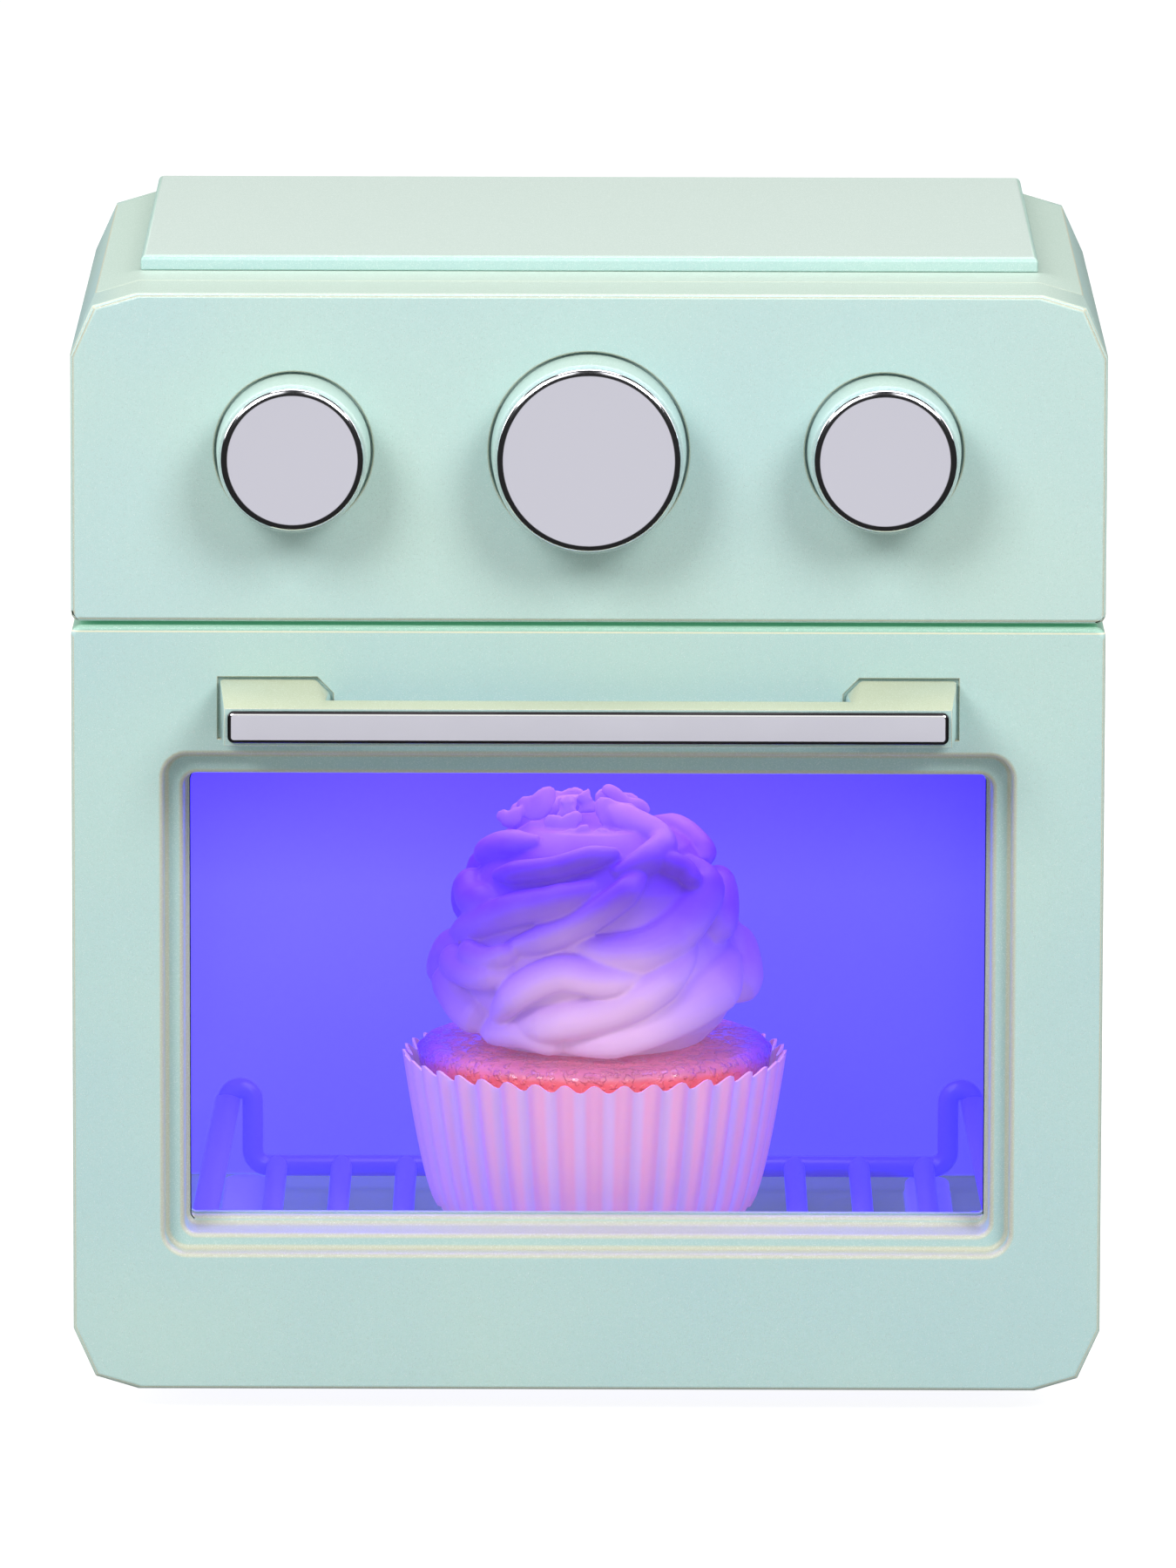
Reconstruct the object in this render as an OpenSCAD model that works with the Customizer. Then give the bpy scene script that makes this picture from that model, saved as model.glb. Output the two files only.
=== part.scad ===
// Toy oven with a drop-down glazed door, three turning knobs, a wire rack and a play cupcake.
// Millimetres. X to the right, Y to the back, Z up. The origin is under the middle of the whole toy.
// Inside the modules y = 0 is the door's front face and z = 0 the lower edge of the case.

/* [Case] */
// Width of the case
case_w = 112; // [106:1:120]
// Height of the case, from its lower edge to its flat top
case_h = 120.8; // [119:0.1:128]
// Depth from the front face to the back
case_d = 84; // [82:1:96]
// Wall of the case and the panel's sides
wall = 1.8; // [1.4:0.1:2.2]
// Where the flat top ends, in from the side
facet_flat = 7.1; // [6:0.1:8]
// Knee between the two corner facets, in from the side
facet_in = 2.4; // [1.8:0.1:3]
// Knee between the two corner facets, down from the top
facet_drop = 1.4; // [1:0.1:2]
// Where the flat side starts, down from the top
facet_side = 6.7; // [5.5:0.1:7.5]
// Rounding of the front edges
edge_r = 0.5; // [0.2:0.05:0.8]
// Width of the raised plate on top
plate_w = 97.8; // [80:0.1:98]
// Height of the raised plate
plate_h = 1.7; // [1.5:0.1:3]
// Distance from the front face to the raised plate
plate_setback = 17.9; // [15:0.1:19]
// Rounding of the raised plate's edges
plate_r = 0.6; // [0.2:0.1:0.8]
// Thickness of the back cover
cover_t = 2; // [1.8:0.1:3]
// Height of the rubber feet
foot_h = 2.6; // [2.6:0.1:5]
// Radius of the rubber feet
foot_r = 4.5; // [3:0.5:6]
// Distance of the feet from the case's sides
foot_x = 18; // [17:1:26]
// Distance of the front feet from the front face
foot_front_y = 24; // [20:1:30]
// Distance of the rear feet from the back
foot_rear_y = 14; // [8:1:20]

/* [Door] */
// Height of the door
door_h = 84.5; // [82:0.1:86]
// Gap between the door and the control panel
door_gap = 0.45; // [0.3:0.05:0.8]
// Thickness of the door
door_t = 9.8; // [9.8:0.1:10.4]
// Gap between the shut door and the frame behind it
seam_gap = 0.4; // [0.3:0.05:0.8]
// Rounding of the door's top corners and the panel's lower ones
door_corner_r = 1; // [0.5:0.1:2]
// Thickness of the front skin
skin = 2; // [1.6:0.1:2.4]
// Width of the outer window step
step_w = 92; // [80:0.1:93]
// Height of the outer window step
step_h = 55.1; // [50:0.1:56]
// Height of the step's lower edge on the door
step_z = 15.2; // [14.5:0.1:16]
// Corner radius of the outer step
step_r = 2.5; // [1:0.1:4]
// Depth of the outer step
step_d = 2.2; // [1.5:0.1:3]
// Ledge between the outer step and the inner one, at the sides
ledge_side = 2.1; // [1.5:0.1:3]
// The same ledge at the bottom
ledge_low = 1.75; // [1:0.05:2.5]
// The same ledge at the top
ledge_high = 2.4; // [1:0.1:3]
// Corner radius of the inner step
sill_r = 1.4; // [0.8:0.1:2]
// Depth of the pane's lip behind the front face
lip_y = 7; // [6:0.1:7.2]
// Thickness of the lip in front of the pane
lip_t = 0.7; // [0.5:0.1:0.9]
// How far the lip stands in at the sides
lip_side = 0.35; // [0.2:0.05:1]
// How far the lip stands in at the bottom
lip_low = 1.05; // [0.2:0.05:2]
// How far the lip stands in at the top
lip_high = 0.6; // [0.2:0.05:2]
// Corner radius of the lip's opening
lip_r = 0.8; // [0.3:0.1:1.5]
// Thickness of the window pane
pane_t = 1; // [0.8:0.1:1.2]
// Hinge axis, behind the front face
hinge_y = 5.7; // [5.2:0.1:5.7]
// Hinge axis, above the lower edge
hinge_z = 6; // [6:0.1:7]
// Distance of the hinge arms from the case's sides
hinge_x = 5.6; // [5.2:0.1:7]
// Radius of the hinge arm's round end
arm_r = 2.2; // [1.8:0.1:2.3]
// Width of the hinge arm
arm_w = 3.2; // [2:0.1:3.4]
// Radius of the hinge pin
pin_r = 0.8; // [0.6:0.05:1]
// Length of the hinge pin
pin_l = 9.2; // [8:0.1:9.4]
// How far the door opens, in degrees
open_angle = 83; // [60:1:84]

/* [Handle] */
// Half the handle's length over its legs, at the door
handle_x = 39.85; // [34:0.05:44]
// Width of each leg at the door
leg_w = 11.95; // [8:0.05:14]
// Height of the legs' lower edge on the door
leg_z = 72.4; // [72.2:0.1:74]
// Height of each leg at the door
leg_h = 6.2; // [5:0.1:7]
// Cut-off of each leg's inner top corner
leg_cut = 1.6; // [0.5:0.1:2.5]
// How much the legs and the bar taper towards the front
leg_taper = 0.65; // [0.2:0.05:1]
// Height of the bar
bar_h = 4.1; // [3.5:0.1:5]
// Thickness of the bar from front to back
bar_t = 4.6; // [3:0.1:5.2]
// How far the bar stands out from the door
bar_out = 9.1; // [8.5:0.1:12]
// Thickness of the bright strip on the bar
strip_t = 0.7; // [0.4:0.1:1.2]
// Margin of the bar around the bright strip
strip_margin = 0.25; // [0.1:0.05:0.6]
// Depth of the legs' seat in the door
seat_d = 0.5; // [0.2:0.1:0.8]
// Gap round the legs in their seat
seat_gap = 0.3; // [0.2:0.05:0.5]

/* [Knobs] */
// Height of the knobs' centres
knob_z = 103.7; // [103:0.1:105]
// Distance of the side knobs from the middle
knob_x = 31.9; // [28:0.1:34]
// Radius of the side knobs at the panel
side_knob_r = 8.34; // [7:0.02:9.5]
// Radius of the middle knob at the panel
main_knob_r = 10.57; // [9:0.01:11.5]
// How far the knobs stand out from the panel
knob_out = 7; // [5:0.1:9]
// How much the knobs narrow towards the front
knob_taper = 0.25; // [0.1:0.05:1]
// Thickness of the bright caps
cap_t = 1.2; // [0.8:0.1:2]
// Margin of the knob around its cap
cap_margin = 0.35; // [0.1:0.05:0.8]
// Rounding of the cap's edge
cap_r = 0.6; // [0.2:0.1:0.7]
// Gap between the knob and the panel
knob_gap = 0.3; // [0.2:0.05:0.6]
// Wall of the knob
knob_wall = 1.4; // [1:0.1:2]
// Radius of the knob's shaft
shaft_r = 3; // [2.5:0.1:3.4]
// Radius of the spindle that enters the switch
spindle_r = 1.5; // [1:0.1:1.8]
// Length of the panel's bushing behind its front skin
bushing_l = 4; // [3:0.1:4.2]
// Wall of the bushing
bushing_t = 2.2; // [1.5:0.1:2.6]
// Thickness of the friction washer
washer_t = 0.5; // [0.3:0.05:0.6]
// Thickness of the retaining clip
clip_t = 0.7; // [0.5:0.05:0.8]
// Depth of the clip's groove in the shaft
groove_d = 0.6; // [0.3:0.05:0.8]

/* [Cavity] */
// Inner width of the cavity
cavity_w = 94; // [88:0.5:94]
// Height of the cavity's floor
cavity_z = 9.6; // [9.6:0.1:11]
// Inner height of the cavity
cavity_h = 63.4; // [60:0.1:64]
// Distance of the cavity's back wall from the front face
cavity_back = 70; // [68:0.5:70]
// Wall of the cavity liner
liner_t = 1.2; // [0.8:0.1:1.2]
// Thickness of the liner's front flange
flange_t = 1.5; // [1.2:0.1:2]
// Height of the flange's lower edge
flange_z = 2.8; // [2.6:0.1:5]
// Height of the floor ribs
rib_h = 1.6; // [1:0.1:2]
// Width of the floor ribs
rib_w = 5; // [3:0.1:6]
// Distance of the floor ribs from the middle
rib_x = 38.5; // [36:0.1:40]
// Front end of the floor ribs
rib_front = 13; // [12:0.5:14]
// Rear end of the floor ribs
rib_back = 63; // [62:0.5:68]
// Width of the light's lens
lens_w = 36; // [24:1:42]
// Depth of the light's lens
lens_d = 16; // [10:1:20]
// Middle of the light's lens, behind the front face
lens_y = 32; // [28:1:40]

/* [Rack] */
// Radius of the rack's rods
rod_r = 1.2; // [0.9:0.05:1.4]
// Number of long rods
rod_count = 11; // [7:1:13]
// Spacing of the long rods
rod_pitch = 7.32; // [6:0.02:7.6]
// Sideways place of the rack's middle
rack_x = 1.5; // [-2:0.1:2]
// Front end of the rack
rack_front = 15; // [14:0.5:18]
// Rear end of the rack
rack_back = 61; // [56:0.5:66]
// Half the distance between the rack's uprights
upright_x = 39.35; // [38:0.05:40]
// Radius of the loops at the rack's corners
loop_r = 1.4; // [1.3:0.1:1.8]
// Height of the side rails above the floor
rail_h = 10; // [8:0.1:14]
// Radius of the lower bends
bend_r = 1.8; // [1.3:0.1:2.5]
// Gap between the rods and the ribs that carry them
rack_gap = 0.15; // [0.1:0.05:0.3]

/* [Cupcake] */
// Sideways place of the cupcake
cup_x = 0.8; // [-4:0.1:4]
// Distance of the cupcake's centre from the front face
cup_y = 35; // [35:0.5:40]
// Radius of the paper's rim
cup_rim_r = 21.4; // [18:0.1:21.5]
// Radius of the paper's base
cup_base_r = 17.5; // [14:0.1:18]
// Height of the paper cup
cup_h = 17.2; // [14:0.1:20]
// Height of the cake's top above the paper's rim
cake_rise = 1.5; // [0.5:0.1:3]
// Number of pleats in the paper
pleats = 40; // [24:1:48]
// Depth of the pleats
pleat_d = 0.8; // [0.4:0.1:1.2]
// Thickness of the paper
paper_t = 0.4; // [0.3:0.05:0.6]
// Gap between the rods and the cup, and between the paper and the cake
cup_gap = 0.15; // [0.1:0.05:0.3]
// Height of the frosting above the cake
frosting_h = 28; // [22:0.5:30]
// Radius of the frosting's lowest tier
frosting_r = 19.1; // [15:0.1:19.2]
// Number of lobes round each tier
lobes = 8; // [6:1:10]
// Depth of the grooves between the lobes
lobe_d = 1.5; // [0.8:0.1:2]

/* [Inside] */
// Radius of a battery cell
cell_r = 5.25; // [5:0.05:5.3]
// Length of a battery cell without its tip
cell_l = 43.7; // [43:0.1:44]
// Spacing of the cells
cell_pitch = 11.4; // [10.8:0.1:11.6]
// Room for the contact spring at a cell's end
spring_l = 5.5; // [4.5:0.1:6]
// Wall of the battery box
box_t = 1.2; // [1:0.1:1.4]
// Left end of the battery box
box_x = -37; // [-40:0.5:-36]
// Thickness of the circuit boards
board_t = 1.6; // [1:0.1:2]
// Width of the main board
board_w = 96; // [92:0.5:98]
// Height of the main board
board_h = 25.6; // [24:0.1:25.6]
// Radius of the speaker
speaker_r = 10; // [8:0.5:11]
// Distance of the speaker from the case's side
speaker_x = 19.5; // [19:0.5:21]
// Thickness of the speaker's frame
speaker_t = 3; // [2:0.5:4]
// Radius of a screw's head
head_r = 1.9; // [1.6:0.05:2]
// Height of a screw's head
head_h = 0.8; // [0.6:0.05:0.9]
// Radius of a screw's shank
shank_r = 1.05; // [0.8:0.05:1.1]
// Radius of the posts that take screws
post_r = 2.6; // [2.3:0.1:2.7]
// Radius of the leads' insulation
lead_r = 0.6; // [0.4:0.05:0.8]

/* [Hidden] */
$fn = 64;

// Small clearances, and an overlap that lets joined shapes fuse
run = 0.05;
fit = 0.1;
fuse = 0.2;
sliver = 0.01;

// Sizes of hidden pieces that no other piece needs
flange_rise = 3;
bay_gap = 0.5;
web_t = 2;
head_gap = 0.3;

// Main planes, measured back from the front face and up from the lower edge
strip_out = bar_out + strip_t;
front_y = (strip_out - case_d) / 2;
shell_front = door_t + seam_gap;
shell_back = case_d - cover_t;
panel_z = door_h + door_gap;
inside_x = case_w / 2 - wall;
flange_top = panel_z + flange_rise;
liner_top = cavity_z + cavity_h + liner_t;
liner_x = cavity_w / 2 + liner_t;
liner_back = cavity_back + liner_t;

// Posts for screws, beside the cavity
post_x = min((liner_x + inside_x) / 2, inside_x - head_r - run);
liner_post_low = 20;
liner_post_drop = 13.4;
liner_post_z = [cavity_z + liner_post_low, cavity_z + cavity_h - liner_post_drop];
cover_post_low = 10;
cover_post_drop = 3;
cover_post_z = [cavity_z + cover_post_low, knob_z - cover_post_drop];
boss_l = 3;
post_l = 6;
cover_post_l = 16;
liner_screw_l = 6;
cover_screw_l = 8;
panel_screw_in = 18;
panel_screw_x = case_w / 2 - panel_screw_in;
panel_screw_back = 2.8;
panel_screw_y = plate_setback + panel_screw_back;
tab_t = 2.2;
tab_w = 9;
tab_over = 3;
lip_len = 3;
lip_wall = 1.2;
lip_rise = 4;
lip_z = flange_top + lip_rise;

// Keys of the back cover inside the case, and the speaker's ring and grille
key_w = 8;
key_t = 1.4;
key_l = 3;
key_in = 14;
ring_l = 2.5;
ring_t = 1;
grille_w = 14;
grille_pitch = 2.4;
grille_slot = 1.2;
speaker_drop = 5;
speaker_z = knob_z - speaker_drop;
horn_x = case_w / 2 - speaker_x;

// Window, from the outside in
step_top = step_z + step_h;
sill_z = step_z + ledge_low;
sill_top = step_top - ledge_high;
sill_w = step_w - 2 * ledge_side;
glass_z = sill_z + lip_low;
glass_top = sill_top - lip_high;
glass_w = sill_w - 2 * lip_side;
pane_y = lip_y + lip_t;
pane_back = pane_y + pane_t;
pane_rest = 1.2;
tube_wall = 1.6;

// Hinge: the door's round heel, how far its lower edge swings, and the room behind it
heel_r = door_t - hinge_y;
heel_skin = 2.2;
slot_gap = 0.4;
sweep_gap = 0.4;
sweep_r = norm([hinge_y, hinge_z]) + sweep_gap;
notch_z = hinge_z + (heel_skin - hinge_y) * sin(open_angle) - hinge_z * cos(open_angle) + sweep_gap + fit;
pin_out = case_w / 2 - wall;
pocket_wall = 1.8;
pocket_z = hinge_z + arm_r + slot_gap + pocket_wall;
arm_x = case_w / 2 - hinge_x;
bracket_front = 16;
bracket_l = 12;
bracket_y = [bracket_front, bracket_front + bracket_l];
bracket_t = 2.2;
bracket_w = 10.6;
bracket_hole_in = 3.2;
bracket_hole_end = 3;

// Handle
bar_rise = 0.5;
bar_z = leg_z + bar_rise;
handle_hole_l = 6.6;
handle_screw_l = 7;
screw_x = handle_x - leg_w / 2;
screw_z = leg_z + leg_h / 2;

// Knobs, front to back behind the panel's front face
bushing_end = skin + bushing_l;
washer_y = bushing_end + run;
clip_y = washer_y + washer_t + run;
groove_y = clip_y - run;
shaft_tail = 1.2;
shaft_end = clip_y + clip_t + shaft_tail;
switch_y = shaft_end + bay_gap;
switch_d = 3.4;
side_switch_w = 10;
main_switch_w = 14;
board_y = switch_y + switch_d;
spindle_end = board_y - shaft_tail;
knob_list = [[-knob_x, side_knob_r], [0, main_knob_r], [knob_x, side_knob_r]];

// Rack and cupcake
rod_z = cavity_z + rib_h + rack_gap + rod_r;
rail_z = cavity_z + rail_h;
cup_z = rod_z + rod_r + cup_gap;
cake_top = cup_z + cup_h + cake_rise;

// Main board and its posts
board_z = knob_z - board_h / 2;
board_inset = 3;
board_post_x = board_w / 2 - board_inset;
board_post_z = [board_z + board_inset, board_z + board_h - board_inset];
board_post_r = post_r - fuse;
small_shank_r = 0.85;
board_screw_l = 5;

// Batteries
plate_t = 0.4;
tip_l = 0.8;
box_in_l = cell_l + tip_l + spring_l + 2 * plate_t;
box_l = box_in_l + 2 * box_t;
box_h = 3 * cell_pitch + 2 * box_t;
box_drop = 5.1;
box_z = max(knob_z - box_drop - box_h / 2, liner_top + bay_gap);
cell_back = 1;
cell_gap = 0.4;
cell_y = shell_back - cell_back - cell_r;
box_front = cell_y - cell_r - cell_gap - box_t;
latch_w = 6;
latch_h = 9;
latch_l = 8;
latch_screw_l = 6;
contact_w = 8;
cover_gap = 0.25;

// Light
lens_rim = 2;
lens_rim_t = 0.8;
light_post_h = 3;
light_board_z = liner_top + light_post_h;
light_board_side = 7;
light_board_w = lens_w + 2 * light_board_side;
light_post_in = 2.6;
light_post_x = light_board_w / 2 - light_post_in;
light_post_r = post_r - 2 * fuse;
light_screw_l = 2.4;

// Feet
foot_at_x = case_w / 2 - foot_x;
feet_at = [for (x = [-foot_at_x, foot_at_x], y = [foot_front_y, case_d - foot_rear_y]) [x, y]];

function reversed(p) = [for (i = [len(p) - 1 : -1 : 0]) p[i]];
function unit(v) = v / norm(v);

// Corner of the case: two facets. dir is 1 at the top and -1 at the bottom
function facets(z_end, dir, inset) = [
    [case_w / 2 - inset - facet_flat, z_end - dir * inset],
    [case_w / 2 - inset - facet_in, z_end - dir * (inset + facet_drop)],
    [case_w / 2 - inset, z_end - dir * (inset + facet_side)]
];

// Corner of the door and the panel where they meet: a small quarter round
function rounds(z_end, dir, inset) = [
    for (a = [90 : -22.5 : 0])
        [case_w / 2 - inset - door_corner_r * (1 - cos(a)),
         z_end - dir * (inset + door_corner_r * (1 - sin(a)))]
];

// Ends of a span of width w about c
function span(c, w) = [c - w / 2, c + w / 2];

function both_sides(right) = concat(right, [for (p = reversed(right)) [-p[0], p[1]]]);
function case_pts(inset) =
    both_sides(concat(facets(0, -1, inset), reversed(facets(case_h, 1, inset))));
function door_pts(inset) =
    both_sides(concat(facets(0, -1, inset), reversed(rounds(door_h, 1, inset))));
function panel_pts(inset) =
    both_sides(concat(rounds(panel_z, -1, inset), reversed(facets(case_h, 1, inset))));

// Puts a module's own coordinates into the part's frame
module placed() {
    translate([0, front_y, foot_h]) children();
}

// A 2D outline in X and Z, run from depth y0 to depth y1
module slab(y0, y1) {
    translate([0, y1, 0]) rotate([90, 0, 0]) linear_extrude(y1 - y0) children();
}

// A 2D outline in Y and Z, run from x0 to x1
module strip(x0, x1) {
    translate([x0, 0, 0]) rotate([90, 0, 90]) linear_extrude(x1 - x0) children();
}

// A round bar along Y
module bar_y(x, y0, y1, z, r) {
    translate([x, y0, z]) rotate([-90, 0, 0]) cylinder(h = y1 - y0, r = r);
}

// A round bar on the hinge axis, at the left (-1) or right (1) side
module pin(s, l, r) {
    translate([s * (pin_out - pin_l / 2), hinge_y, hinge_z]) rotate([0, 90, 0])
        cylinder(h = l, r = r, center = true);
}

// A box between two corners
module block(x, y, z) {
    translate([x[0], y[0], z[0]]) cube([x[1] - x[0], y[1] - y[0], z[1] - z[0]]);
}

// A rectangle with round corners, centred in X and standing on z0
module round_rect(w, z0, z1, r) {
    translate([-w / 2 + r, z0]) square([w - 2 * r, z1 - z0]);
    translate([-w / 2, z0 + r]) square([w, z1 - z0 - 2 * r]);
    for (x = [-w / 2 + r, w / 2 - r], z = [z0 + r, z1 - r])
        translate([x, z]) circle(r = r);
}

// A plate from y0 to y1 whose front edges are rounded. The child reads $inset
module soft_front(y0, y1) {
    hull() {
        for (a = [0 : 30 : 60])
            slab(y0 + edge_r * (1 - cos(a)), y0 + edge_r * (1 - cos(a)) + sliver)
                let ($inset = edge_r * (1 - sin(a))) children();
        slab(y0 + edge_r, y1) let ($inset = 0) children();
    }
}

// A screw pointing along +Z, its head's underside at z = 0, with a cross recess
module screw(l, r = shank_r) {
    difference() {
        translate([0, 0, -head_h]) cylinder(h = head_h, r = head_r);
        for (a = [0, 90])
            rotate([0, 0, a])
                translate([-head_r * 0.6, -0.25, -head_h - fit])
                    cube([head_r * 1.2, 0.5, head_h * 0.5 + fit]);
    }
    translate([0, 0, -sliver]) cylinder(h = l + sliver, r = r);
}

// The same screw pointing to the back or to the front
module screw_back(x, y, z, l, r = shank_r) {
    translate([x, y, z]) rotate([-90, 0, 0]) screw(l, r);
}
module screw_front(x, y, z, l, r = shank_r) {
    translate([x, y, z]) rotate([90, 0, 0]) screw(l, r);
}

// A tube along a path. ref is a direction that the path never takes
module tube(path, r, sides, ref) {
    n = len(path);
    rings = [
        for (i = [0 : n - 1])
            let (t = unit(path[min(i + 1, n - 1)] - path[max(i - 1, 0)]),
                 u = unit(ref - (ref * t) * t),
                 v = cross(t, u))
            for (k = [0 : sides - 1])
                path[i] + r * (cos(360 * k / sides) * u + sin(360 * k / sides) * v)
    ];
    walls = [
        for (i = [0 : n - 2], k = [0 : sides - 1])
            let (a = i * sides + k, b = i * sides + (k + 1) % sides)
            each [[a, a + sides, b], [b, a + sides, b + sides]]
    ];
    first = [[for (k = [0 : sides - 1]) k]];
    last = [[for (k = [sides - 1 : -1 : 0]) (n - 1) * sides + k]];
    polyhedron(points = rings, faces = concat(walls, first, last));
}

// The space that the door's heel sweeps when the door opens
module heel_sweep() {
    intersection() {
        translate([-case_w, hinge_y, hinge_z]) rotate([0, 90, 0])
            cylinder(h = 2 * case_w, r = sweep_r);
        block([-case_w, case_w], [-case_d, case_d], [-case_h, notch_z]);
    }
}

module body_shell() {
    color([0.71, 0.86, 0.79]) placed() {
        difference() {
            slab(shell_front, shell_back) polygon(case_pts(0));
            slab(shell_front - 1, shell_back + 1) polygon(case_pts(wall));
            heel_sweep();
            for (x = [-panel_screw_x, panel_screw_x])
                translate([x, panel_screw_y, case_h - wall - 1]) cylinder(h = wall + 2, r = shank_r + fit);
            for (p = bracket_holes()) translate([p[0], p[1], -1]) {
                cylinder(h = wall + 2, r = shank_r + fit);
                cylinder(h = 1 + head_h + fit, r = head_r + fit);
            }
        }
        for (s = [-1, 1]) {
            for (z = liner_post_z) wall_post(s, z, shell_front + boss_l, post_l);
            for (z = cover_post_z) wall_post(s, z, shell_back - cover_post_l, cover_post_l);
        }
    }
}

// A screw post with a web that ties it to the side wall
module wall_post(s, z, y0, l) {
    difference() {
        union() {
            bar_y(s * post_x, y0, y0 + l, z, post_r);
            block([min(s * post_x, s * (inside_x + fuse)), max(s * post_x, s * (inside_x + fuse))],
                  [y0, y0 + l], span(z, web_t));
        }
        bar_y(s * post_x, y0 - 1, y0 + l + 1, z, shank_r + run);
        block([-liner_x - fit, liner_x + fit], [shell_front, liner_back + fit],
              [cavity_z - liner_t - fit, liner_top + fit]);
    }
}

module control_panel() {
    tab_z = case_h - wall - fit;
    color([0.71, 0.86, 0.79]) placed() difference() {
        union() {
            difference() {
                soft_front(0, shell_front) polygon(panel_pts($inset));
                slab(skin, shell_front + 1) polygon(panel_pts(wall));
            }
            for (k = knob_list)
                bar_y(k[0], skin - fuse, bushing_end, knob_z, shaft_r + bushing_t);
            for (x = [-board_post_x, board_post_x], z = board_post_z)
                bar_y(x, skin - fuse, board_y, z, board_post_r);
            panel_lip(shell_front - lip_len, shell_front, wall - fuse);
            panel_lip(shell_front - sliver, shell_front + lip_len, wall + fit);
            for (x = [-panel_screw_x, panel_screw_x])
                block(span(x, tab_w), [shell_front - lip_len, panel_screw_y + tab_over],
                      [tab_z - tab_t, tab_z]);
        }
        for (k = knob_list) bar_y(k[0], -1, bushing_end + 1, knob_z, shaft_r + run);
        for (x = [-board_post_x, board_post_x], z = board_post_z)
            bar_y(x, skin + 1, board_y + 1, z, small_shank_r + run);
        for (x = [-panel_screw_x, panel_screw_x])
            translate([x, panel_screw_y, tab_z - tab_t - 1]) cylinder(h = tab_t + 2, r = shank_r + run);
    }
}

// The panel's locating lip, inside the case's top and sides
module panel_lip(y0, y1, inset) {
    slab(y0, y1) difference() {
        polygon(case_pts(inset));
        polygon(case_pts(wall + fit + lip_wall));
        translate([-case_w, -case_h]) square([2 * case_w, case_h + lip_z]);
    }
}

module top_plate() {
    color([0.75, 0.87, 0.82]) placed() difference() {
        hull() for (a = [0 : 30 : 90])
            translate([0, 0, case_h])
                linear_extrude(plate_h - plate_r * (1 - sin(a)))
                    translate([-plate_w / 2 + plate_r * (1 - cos(a)), plate_setback + plate_r * (1 - cos(a))])
                        square([plate_w - 2 * plate_r * (1 - cos(a)),
                                case_d - plate_setback - 2 * plate_r * (1 - cos(a))]);
        for (x = [-panel_screw_x, panel_screw_x])
            translate([x, panel_screw_y, case_h - 1]) cylinder(h = 1 + head_h + fit, r = head_r + 0.4);
    }
}

function cover_screws() = [for (x = [-post_x, post_x], z = cover_post_z) [x, z]];
latch_at = [box_x + box_l + latch_w / 2, box_z + box_h / 2];
hatch_x = [box_x + box_t / 2, box_x + box_l + latch_w];
hatch_z = [box_z + box_t / 2, box_z + box_h - box_t / 2];

module back_cover() {
    color([0.71, 0.86, 0.79]) placed() difference() {
        union() {
            hull() {
                slab(shell_back, case_d - edge_r) polygon(case_pts(0));
                slab(case_d - edge_r, case_d) polygon(case_pts(edge_r));
            }
            for (s = [-1, 1], z = [wall + fit, case_h - wall - fit - key_t])
                block(span(s * (case_w / 2 - key_in), key_w), [shell_back - key_l, shell_back + fuse],
                      [z, z + key_t]);
            difference() {
                bar_y(horn_x, shell_back - ring_l, shell_back + fuse, speaker_z, speaker_r + fit + ring_t);
                bar_y(horn_x, shell_back - ring_l - 1, shell_back, speaker_z, speaker_r + fit);
            }
        }
        for (p = cover_screws()) {
            bar_y(p[0], shell_back - 1, case_d + 1, p[1], shank_r + fit);
            bar_y(p[0], case_d - head_h - fit, case_d + 1, p[1], head_r + fit);
        }
        block(hatch_x, [shell_back - 1, case_d + 1], hatch_z);
        for (i = [-3 : 3])
            block([horn_x - grille_w / 2 + abs(i), horn_x + grille_w / 2 - abs(i)],
                  [shell_back - 1, case_d + 1],
                  span(speaker_z + grille_pitch * i, grille_slot));
    }
}

module feet() {
    color([0.3, 0.32, 0.33]) placed() for (p = feet_at)
        translate([p[0], p[1], -foot_h]) cylinder(h = foot_h, r1 = foot_r - 0.4, r2 = foot_r);
}

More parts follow.
